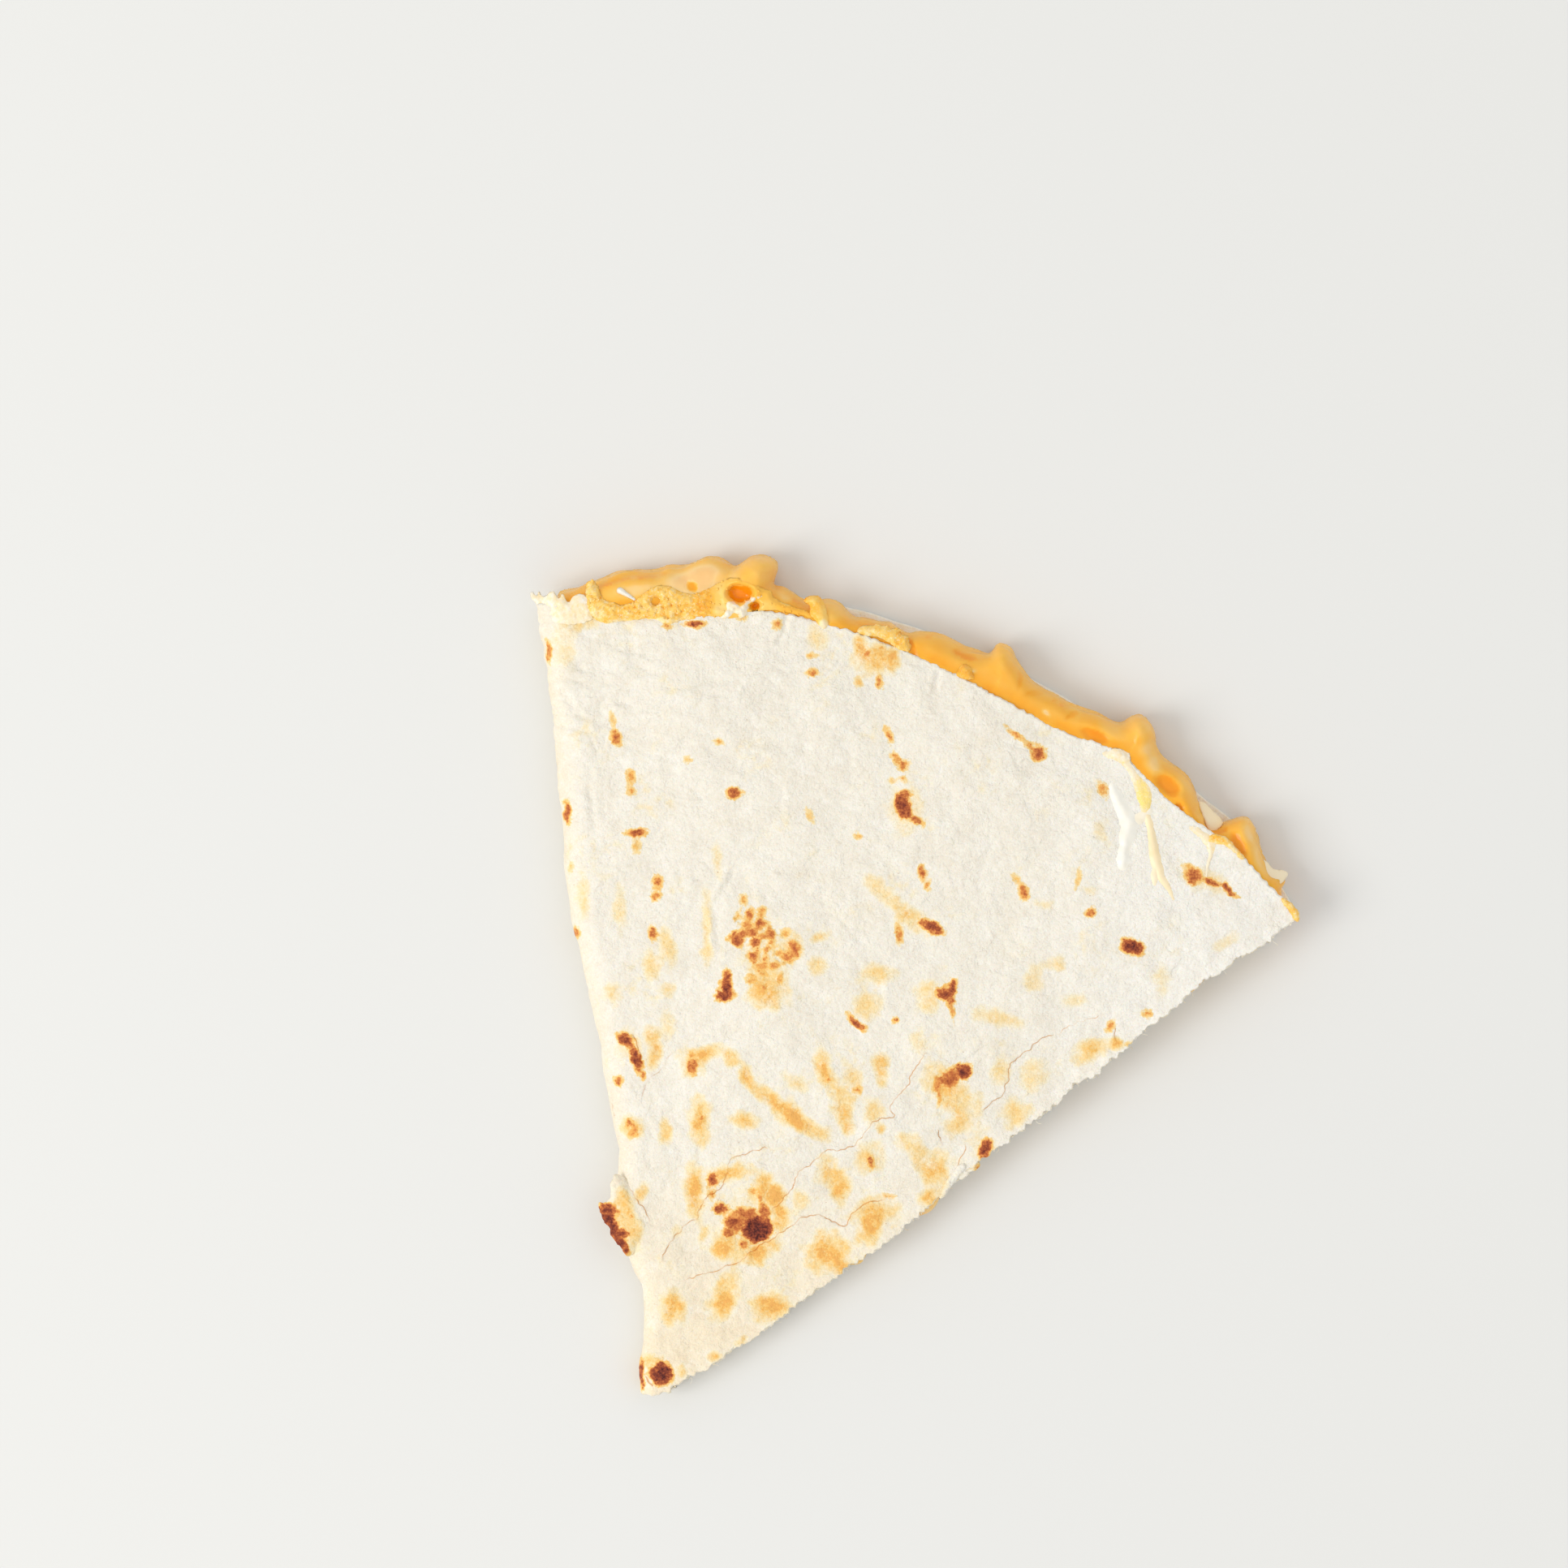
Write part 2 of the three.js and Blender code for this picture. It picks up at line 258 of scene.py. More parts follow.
def triangulate(rings, inner):
    # triangles inside closed rings; the rings' points come first and keep their order
    inner = inner[isInside(inner, rings)]
    points = [Vector(p[:2]) for ring in rings for p in ring] + [Vector(p[:2]) for p in inner]
    edges, start = [], 0
    for ring in rings:
        edges += [(start + k, start + (k + 1) % len(ring)) for k in range(len(ring))]
        start += len(ring)
    places, _, faces, origin, _, _ = delaunay_2d_cdt(points, edges, [], 1, 1e-6, True)
    order = {}
    for k, olds in enumerate(origin):
        for old in olds:
            order.setdefault(old, k)
    places = np.array([p[:] for p in places])
    faces = np.array(faces)
    faces = faces[isInside(places[faces].mean(1), rings)]
    first = [order[k] for k in range(start)]
    onRings = set(first)
    rest = [v for v in np.unique(faces).tolist() if v not in onRings]
    place = np.full(len(places), -1)
    place[first + rest] = np.arange(start + len(rest))
    flat, tris = places[first + rest], place[faces]
    a, b, c = flat[tris[:, 0]], flat[tris[:, 1]], flat[tris[:, 2]]
    turned = (b[:, 0] - a[:, 0]) * (c[:, 1] - a[:, 1]) - (b[:, 1] - a[:, 1]) * (c[:, 0] - a[:, 0]) < 0
    tris[turned] = tris[turned][:, ::-1]
    return flat, tris


def meshOf(name, points, faces, attributes):
    mesh = bpy.data.meshes.new(name)
    mesh.from_pydata(toFrame(points).tolist(), [], np.asarray(faces).tolist())
    for key, values in attributes.items():
        mesh.attributes.new(key, "FLOAT", "POINT").data.foreach_set("value", np.asarray(values, np.float32))
    return mesh


def putDown(name, data):
    made = bpy.data.objects.new(name, data)
    bpy.context.scene.collection.objects.link(made)
    return made


def enroll(name, mesh, replaced=()):
    # a finished mesh as a piece of the part
    mesh.polygons.foreach_set("use_smooth", [True] * len(mesh.polygons))
    piece = putDown(name, mesh)
    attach(piece, "root")
    for node in replaced:
        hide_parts(node)
    print(f"{name}: {len(mesh.vertices)} points, {len(mesh.polygons)} faces")


def makePiece(name, solid, material, replaced=(), crisp=0):
    # solid: points in mm, faces and attributes; edges between the first so many points stay sharp
    mesh = meshOf(name, *solid)
    work = bmesh.new()
    work.from_mesh(mesh)
    bmesh.ops.recalc_face_normals(work, faces=work.faces)
    work.to_mesh(mesh)
    work.free()
    ends = np.empty(2 * len(mesh.edges), np.int32)
    mesh.edges.foreach_get("vertices", ends)
    mesh.edges.foreach_set("use_edge_sharp", (ends.reshape(-1, 2) < crisp).all(1))
    mesh.materials.append(material)
    enroll(name, mesh, replaced)


# materials

def linear(red, green, blue):
    def one(v):
        v /= 255
        return v / 12.92 if v <= 0.04045 else ((v + 0.055) / 1.055) ** 2.4
    return (one(red), one(green), one(blue), 1)


class Nodes:
    # a node tree; what goes into a node is a value, another node or a socket
    def add(self, kind, inputs=None, **settings):
        made = self.tree.nodes.new(kind)
        for key, value in settings.items():
            setattr(made, key, value)
        for key, value in (inputs or {}).items():
            self.join(value, made.inputs[key])
        return made

    def join(self, source, target):
        if isinstance(source, bpy.types.Node):
            source = source.outputs[0]
        if isinstance(source, bpy.types.NodeSocket):
            self.tree.links.new(source, target)
        else:
            target.default_value = source


class Finish(Nodes):
    # a material; sizes and depths are in millimetres
    def __init__(self, name, shader):
        self.material = bpy.data.materials.new(name)
        self.material.use_nodes = True
        self.tree = self.material.node_tree
        self.shader = self.tree.nodes["Principled BSDF"]
        for key, value in shader.items():
            self.shader.inputs[key].default_value = value
        self.place = self.add("ShaderNodeTexCoord").outputs["Object"]

    def finished(self, colour, skin):
        self.join(colour, self.shader.inputs["Base Color"])
        self.join(skin, self.shader.inputs["Normal"])
        return self.material

    def attribute(self, name):
        return self.add("ShaderNodeAttribute", attribute_name=name).outputs["Fac"]

    def noise(self, size, detail=3, roughness=0.55, stretch=None):
        place = self.place
        if stretch:
            place = self.add("ShaderNodeMapping", {"Vector": place, "Scale": stretch})
        inputs = {"Vector": place, "Scale": 1 / (size * mm), "Detail": detail, "Roughness": roughness}
        return self.add("ShaderNodeTexNoise", inputs).outputs["Fac"]

    def cells(self, size):
        made = self.add("ShaderNodeTexVoronoi", {"Vector": self.place, "Scale": 1 / (size * mm)})
        return made.outputs["Distance"]

    def math(self, operation, first, *others):
        for other in others:
            first = self.add("ShaderNodeMath", {0: first, 1: other}, operation=operation).outputs[0]
        return first

    def times(self, *factors):
        return self.math("MULTIPLY", *factors)

    def plus(self, *terms):
        return self.math("ADD", *terms)

    def around(self, value, reach):
        # noise as a shift to either side of nought
        return self.times(self.math("SUBTRACT", value, 0.5), reach)

    def spread(self, value, low, high, toLow=0.0, toHigh=1.0):
        inputs = {"Value": value, "From Min": low, "From Max": high, "To Min": toLow, "To Max": toHigh}
        return self.add("ShaderNodeMapRange", inputs, interpolation_type="SMOOTHSTEP").outputs["Result"]

    def ramp(self, value, *stops):
        # each stop: its place and its colour
        made = self.add("ShaderNodeValToRGB", {"Fac": value})
        elements = made.color_ramp.elements
        while len(elements) < len(stops):
            elements.new(1)
        for element, (at, *colour) in zip(elements, stops):
            element.position = at
            element.color = linear(*colour)
        return made.outputs["Color"]

    def blend(self, share, a, b, kind="MIX"):
        return self.add("ShaderNodeMix", {0: share, 6: a, 7: b}, data_type="RGBA", blend_type=kind).outputs[2]

    def bumps(self, *layers):
        # heights with their depths, one on top of the other
        normal = {}
        for height, depth in layers:
            made = self.add("ShaderNodeBump", {"Height": height, "Distance": depth * mm, **normal})
            normal = {"Normal": made.outputs["Normal"]}
        return normal["Normal"]


# things scattered over a surface

class Growth(Nodes):
    # a geometry node tree with named inputs
    def __init__(self, name, inputs):
        self.tree = bpy.data.node_groups.new(name, "GeometryNodeTree")
        outside = self.tree.interface
        outside.new_socket("Geometry", in_out="INPUT", socket_type="NodeSocketGeometry")
        self.keys = {}
        for key, value in inputs.items():
            kind = "NodeSocketInt" if isinstance(value, int) else "NodeSocketFloat"
            self.keys[key] = outside.new_socket(key, in_out="INPUT", socket_type=kind).identifier
        outside.new_socket("Geometry", in_out="OUTPUT", socket_type="NodeSocketGeometry")

    def random(self, low, high, seed, kind="FLOAT_VECTOR"):
        first, result = (0, 0) if kind == "FLOAT_VECTOR" else (2, 1)
        inputs = {first: low, first + 1: high, "Seed": seed}
        return self.add("FunctionNodeRandomValue", inputs, data_type=kind).outputs[result]

    def spreadOut(self, shape, material):
        # instances of a shape over the faces: turned at random, of random size, made real
        given = self.add("NodeGroupInput").outputs
        points = self.add("GeometryNodeDistributePointsOnFaces",
                          {"Mesh": given["Geometry"], "Density": given["Density"], "Seed": given["Seed"]})
        lean = given["Lean"]
        back = self.add("ShaderNodeMath", {0: lean, 1: -1}, operation="MULTIPLY")
        low, high = (self.add("ShaderNodeCombineXYZ", {0: angle, 1: angle, 2: turn}).outputs[0]
                     for angle, turn in ((back, -3.14), (lean, 3.14)))
        angles = self.add("FunctionNodeEulerToRotation", {0: self.random(low, high, 1)})
        turned = self.add("FunctionNodeRotateRotation", {0: points.outputs["Rotation"], 1: angles},
                          rotation_space="LOCAL")
        size = self.random(given["Smallest"], given["Largest"], 2, "FLOAT")
        uneven = self.random((0.7, 0.7, 0.45), (1.3, 1.3, 0.9), 3)
        uneven = self.add("ShaderNodeVectorMath", {0: uneven, "Scale": size}, operation="SCALE")
        placed = self.add("GeometryNodeInstanceOnPoints",
                          {"Points": points, "Instance": shape, "Rotation": turned, "Scale": uneven})
        real = self.add("GeometryNodeRealizeInstances", {0: placed})
        painted = self.add("GeometryNodeSetMaterial", {"Geometry": real, "Material": material})
        self.add("NodeGroupOutput", {0: painted})


def lumps(growth):
    return growth.add("GeometryNodeMeshIcoSphere")


def fibres(growth):
    bend = growth.add("GeometryNodeCurveQuadraticBezier", {"Resolution": 5, "Start": (0, 0, -0.1),
                                                           "Middle": (0.45, 0.1, 0.5), "End": (0, -0.2, 1.3)})
    hoop = growth.add("GeometryNodeCurvePrimitiveCircle", {"Resolution": 4, "Radius": 0.035})
    return growth.add("GeometryNodeCurveToMesh", {"Curve": bend, "Profile Curve": hoop, "Fill Caps": True})


def scatter(name, guide, shape, settings, material):
    # guide: points in mm, faces and attributes of the surface that carries the pieces
    carrier = putDown(name + "_guide", meshOf(name + "_guide", *guide))
    growth = Growth(name, settings)
    growth.spreadOut(shape(growth), material)
    modifier = carrier.modifiers.new("scatter", "NODES")
    modifier.node_group = growth.tree
    for key, value in settings.items():
        modifier[growth.keys[key]] = value
    graph = bpy.context.evaluated_depsgraph_get()
    mesh = bpy.data.meshes.new_from_object(carrier.evaluated_get(graph), depsgraph=graph)
    carrier.modifiers.clear()
    bpy.data.objects.remove(carrier)
    mesh.name = name
    enroll(name, mesh)


# camera

# seen straight from above: lengths in mm, and the level that the width is measured at
view = {"width": 246.5, "centre": (21.2, 95.6), "height": 1100, "level": 9.0, "sensor": 36}
camera = bpy.data.cameras.new("camera")
camera.sensor_width = view["sensor"]
camera.lens = view["sensor"] * view["height"] / view["width"]
cameraObject = putDown("camera", camera)
cameraObject.location = toFrame([[*view["centre"], view["height"] + view["level"]]])[0]
bpy.context.scene.camera = cameraObject

# tortilla: its bent sheet

sheet = {
    "leaf": 2.0,  # thickness of one leaf
    "heading": 97.75,  # direction of the fold, in degrees
    "radius": 124.4,  # from the tip to the rim
    "angle": 61.2,  # between the fold and the cut
    "thinRim": (0.66, 124.6, 5),  # the leaf's share of thickness at its rim, and where it thins out
    "rollTip": 1.7,  # radius of the fold's middle at the tip, growing to the rim's over some distance
    "rollRim": 3.3,
    "rollGrows": 60,
    "belly": 1.5,  # how far the filling lifts the leaf, and the distance from the fold that this takes
    "bellyRun": 22,
    "rimSag": (0.9, 14),  # how far the leaf sinks again towards the rim, and over what distance
    "cutSag": (0.8, 16),  # the same towards the cut
    # outline of the fold: distance along it and how far it strays inwards
    "foldEdge": [
        (-3, -.7), (-.1, -.55), (2.4, -.25), (4.2, -.15), (5.4, .4), (7.4, .97), (10.5, 1.5), (14, 1.85),
        (16.8, 1.95), (18.7, 1.2), (21.8, .55), (25, .2), (28, 0), (31, .2), (34.4, .7), (38, 1.45),
        (42, 1.1), (45, .85), (51, .4), (55, .45), (61, .15), (66, -.3), (75, -1.2), (84, -1.1), (92, -.5),
        (105, -.1), (126, -.1),
    ],
    # knife edge of the top leaf, from the tip to the right corner
    "cut": [
        (.6, -1.1), (2.4, -.4), (4.1, .6), (7, 2.2), (10.2, 4.1), (13.4, 6.4), (16.6, 8.3), (21, 11.6),
        (25.5, 15.2), (28.7, 17.2), (31.9, 19.8), (35.9, 22.3), (38.7, 24.5), (41.3, 26.6), (43.8, 28.7),
        (45.9, 30.6), (48.9, 33.6), (52.7, 36.8), (55.3, 38.5), (57.4, 40.2), (60.8, 42.7), (63.5, 44.8),
        (65.9, 47.2), (68.3, 49.1), (70.4, 49.8), (72.6, 52.2), (75.2, 54.1), (77.6, 56.5), (80.7, 58.8),
        (82.4, 60.1), (85.2, 62.6), (87.4, 64.9), (90, 66.1), (91.9, 67.8), (94.1, 68.8), (97, 70.6),
        (99.8, 72.6), (102.3, 74.6),
    ],
    # rim of the top leaf, from the right corner to the fold
    "rim": [
        (102.3, 74.6), (101.2, 76), (96.7, 80.6), (91.9, 85.7), (86.8, 89.3), (81.7, 93.2), (74, 100.5),
        (66.4, 103.4), (60, 106.5), (51, 111.4), (40.8, 116.4), (31.9, 119.6), (20.4, 122.6), (8, 123.2),
        (-5, 123.6), (-13.5, 124.2),
    ],
    # reach of the bottom leaf at angles from the fold
    "bottomReach": [(0, 126.2), (8, 127.4), (30, 127.5), (46, 127.4), (54, 128.8), (61.4, 127.2)],
    "edgeStep": 0.34,  # distances between points: along the edge, on the skin that shows, below, inside
    "fineStep": 0.4,
    "coarseStep": 0.95,
    "innerStep": 2.2,
    "fineTo": -14,  # the fine skin goes on round the fold to here
    "edgeInset": (0.3, 0.15),  # how far the skins end before the wall's middle, at the rim and at the cut
    # rows of the edge's wall: depth, inset, roughness, and shares of tint, darkness and crumb
    "walls": [
        (.8, .06, .5, .75, .8, .7), (.3, 0, 1, .25, .3, 1), (-.1, 0, 1, .25, .3, 1),
        (-.5, .03, 1, .25, .3, 1), (-.8, .12, .5, .25, .3, 1),
    ],
}
half = sheet["leaf"] / 2
heading = math.radians(sheet["heading"])
foldDir = np.array([math.cos(heading), math.sin(heading)])
acrossDir = np.array([foldDir[1], -foldDir[0]])


def foldPlace(x, y):
    # distance along the fold and across it
    return x * foldDir[0] + y * foldDir[1], x * acrossDir[0] + y * acrossDir[1]


def rollRadius(along):
    return mix(sheet["rollTip"], sheet["rollRim"], ease(along / sheet["rollGrows"]))


foldLine = np.array(sheet["foldEdge"])


def foldEdge(along):
    taps = [np.interp(along + shift, *foldLine.T) for shift in (-0.36, -0.18, 0, 0.18, 0.36)]
    return sum(taps) / len(taps)


def foldFrame(x, y):
    # distance along the fold, distance in from its outline, and its radius there
    along, across = foldPlace(x, y)
    return along, across - foldEdge(along), rollRadius(along)


def unroll(x, y, side=1):
    # a point of the plan as a place on the sheet laid out flat: along the fold, and out from its middle
    along, inwards, roll = foldFrame(x, y)
    turn = np.arccos(np.clip(1 - inwards / roll, 0, 1))
    out = np.where(inwards > roll, roll * math.pi / 2 + inwards - roll, roll * turn)
    return np.stack([along, side * out], -1)


def topLift(x, y, along, inwards, roll):
    # how far the filling lifts the top leaf above the fold
    reach = np.hypot(x, y)
    angle = np.degrees(np.arctan2(foldPlace(x, y)[1], along))
    fromRim = sheet["radius"] - reach
    fromCut = reach * np.sin(np.radians(sheet["angle"] - angle))
    sag = sheet["rimSag"][0] * (1 - ease(fromRim / sheet["rimSag"][1]))
    sag = sag + sheet["cutSag"][0] * (1 - ease(fromCut / sheet["cutSag"][1]))
    waves = 0.3 * cloud(x, y, 26, 3, 2) + 0.12 * swirl(x, y, 11, 8)
    lift = sheet["belly"] + waves - sag
    return lift * ease((inwards - roll) / sheet["bellyRun"]) * ease((reach - 8) / 50)


def sheetMiddle(along, out):
    # the middle of the bent sheet
    roll = rollRadius(along)
    turn = np.clip(out / roll, -math.pi / 2, math.pi / 2)
    beyond = np.maximum(0, np.abs(out) - roll * math.pi / 2)
    inwards = roll * (1 - np.cos(turn)) + beyond
    across = inwards + foldEdge(along)
    x = along * foldDir[0] + across * acrossDir[0]
    y = along * foldDir[1] + across * acrossDir[1]
    z = half + roll * (1 + np.sin(turn))
    z = z + np.where(out > 0, topLift(x, y, along, inwards, roll), 0)
    return np.stack([x, y, z], -1)


def leafThin(r):
    share, rim, run = sheet["thinRim"]
    return mix(share, 1.0, ease((rim - r) / run))


def sheetNormal(along, out):
    d = 0.15
    alongStep = sheetMiddle(along + d, out) - sheetMiddle(along - d, out)
    outStep = sheetMiddle(along, out + d) - sheetMiddle(along, out - d)
    normal = np.cross(outStep, alongStep)
    return normal / np.linalg.norm(normal, axis=-1)[..., None]


def ragged(line, step, deep, seed):
    # a torn or cut edge: fine teeth and small bites, fading at both ends
    run = np.arange(len(line)) * step
    teeth = np.abs(wave(run, 3.3, 1.7, seed)) * 1.4 + 1.5 * wave(run, 1.7, 0.75, seed + 2)
    bites = 0.4 * wave(run, 5.1, 4.5, seed + 4)
    ends = ease(run / 3) * ease((run[-1] - run) / 3)
    return line + sideOf(line) * (deep * (teeth + bites - 0.4) * ends)[:, None]


def sheetOutline():
    # on the sheet laid out flat: top cut and rim, end of the fold, bottom rim and cut, tip
    step = sheet["edgeStep"]
    cut = ragged(softLine(sheet["cut"], step), step, 0.3, 11)
    rim = ragged(softLine(sheet["rim"], step), step, 0.16, 23)
    angles = np.radians(sheet["heading"] - np.linspace(2.2, 61.3, 190))
    fromFold = sheet["heading"] - np.degrees(angles)
    r = np.interp(fromFold, *np.array(sheet["bottomReach"]).T) + 0.25 * wave(fromFold, 0, 3.1, 5)
    bottomRim = np.stack([r * np.cos(angles), r * np.sin(angles)], 1)
    bottomCut = softLine([bottomRim[-1], *sheet["cut"][-2:0:-1], (4.2, 0.2)], 0.6)
    bottomCut = ragged(bottomCut, 0.6, 0.5, 47)
    top = np.concatenate([unroll(*cut.T), unroll(*rim.T)[1:]])
    bottom = np.concatenate([unroll(*bottomRim.T, -1), unroll(*bottomCut.T, -1)[1:]])
    foldEnd = softLine([top[-1], (125.2, 2.0), (125.6, -1.0), (126.2, -4.0), bottom[0]], 0.4)[1:-1]
    tipEnd = softLine([bottom[-1], (-0.6, -2.2), (-0.7, 0.0), (-0.9, 1.7), top[0]], step)[1:-1]
    return np.concatenate([top, foldEnd, bottom, tipEnd])


# tortilla: toasting, cracks and relief

# what the leaf's material reads at each point
leafAttributes = ("tint", "inside", "dark", "crumb", "creamAndShade", "crackSide", "crackDepth")

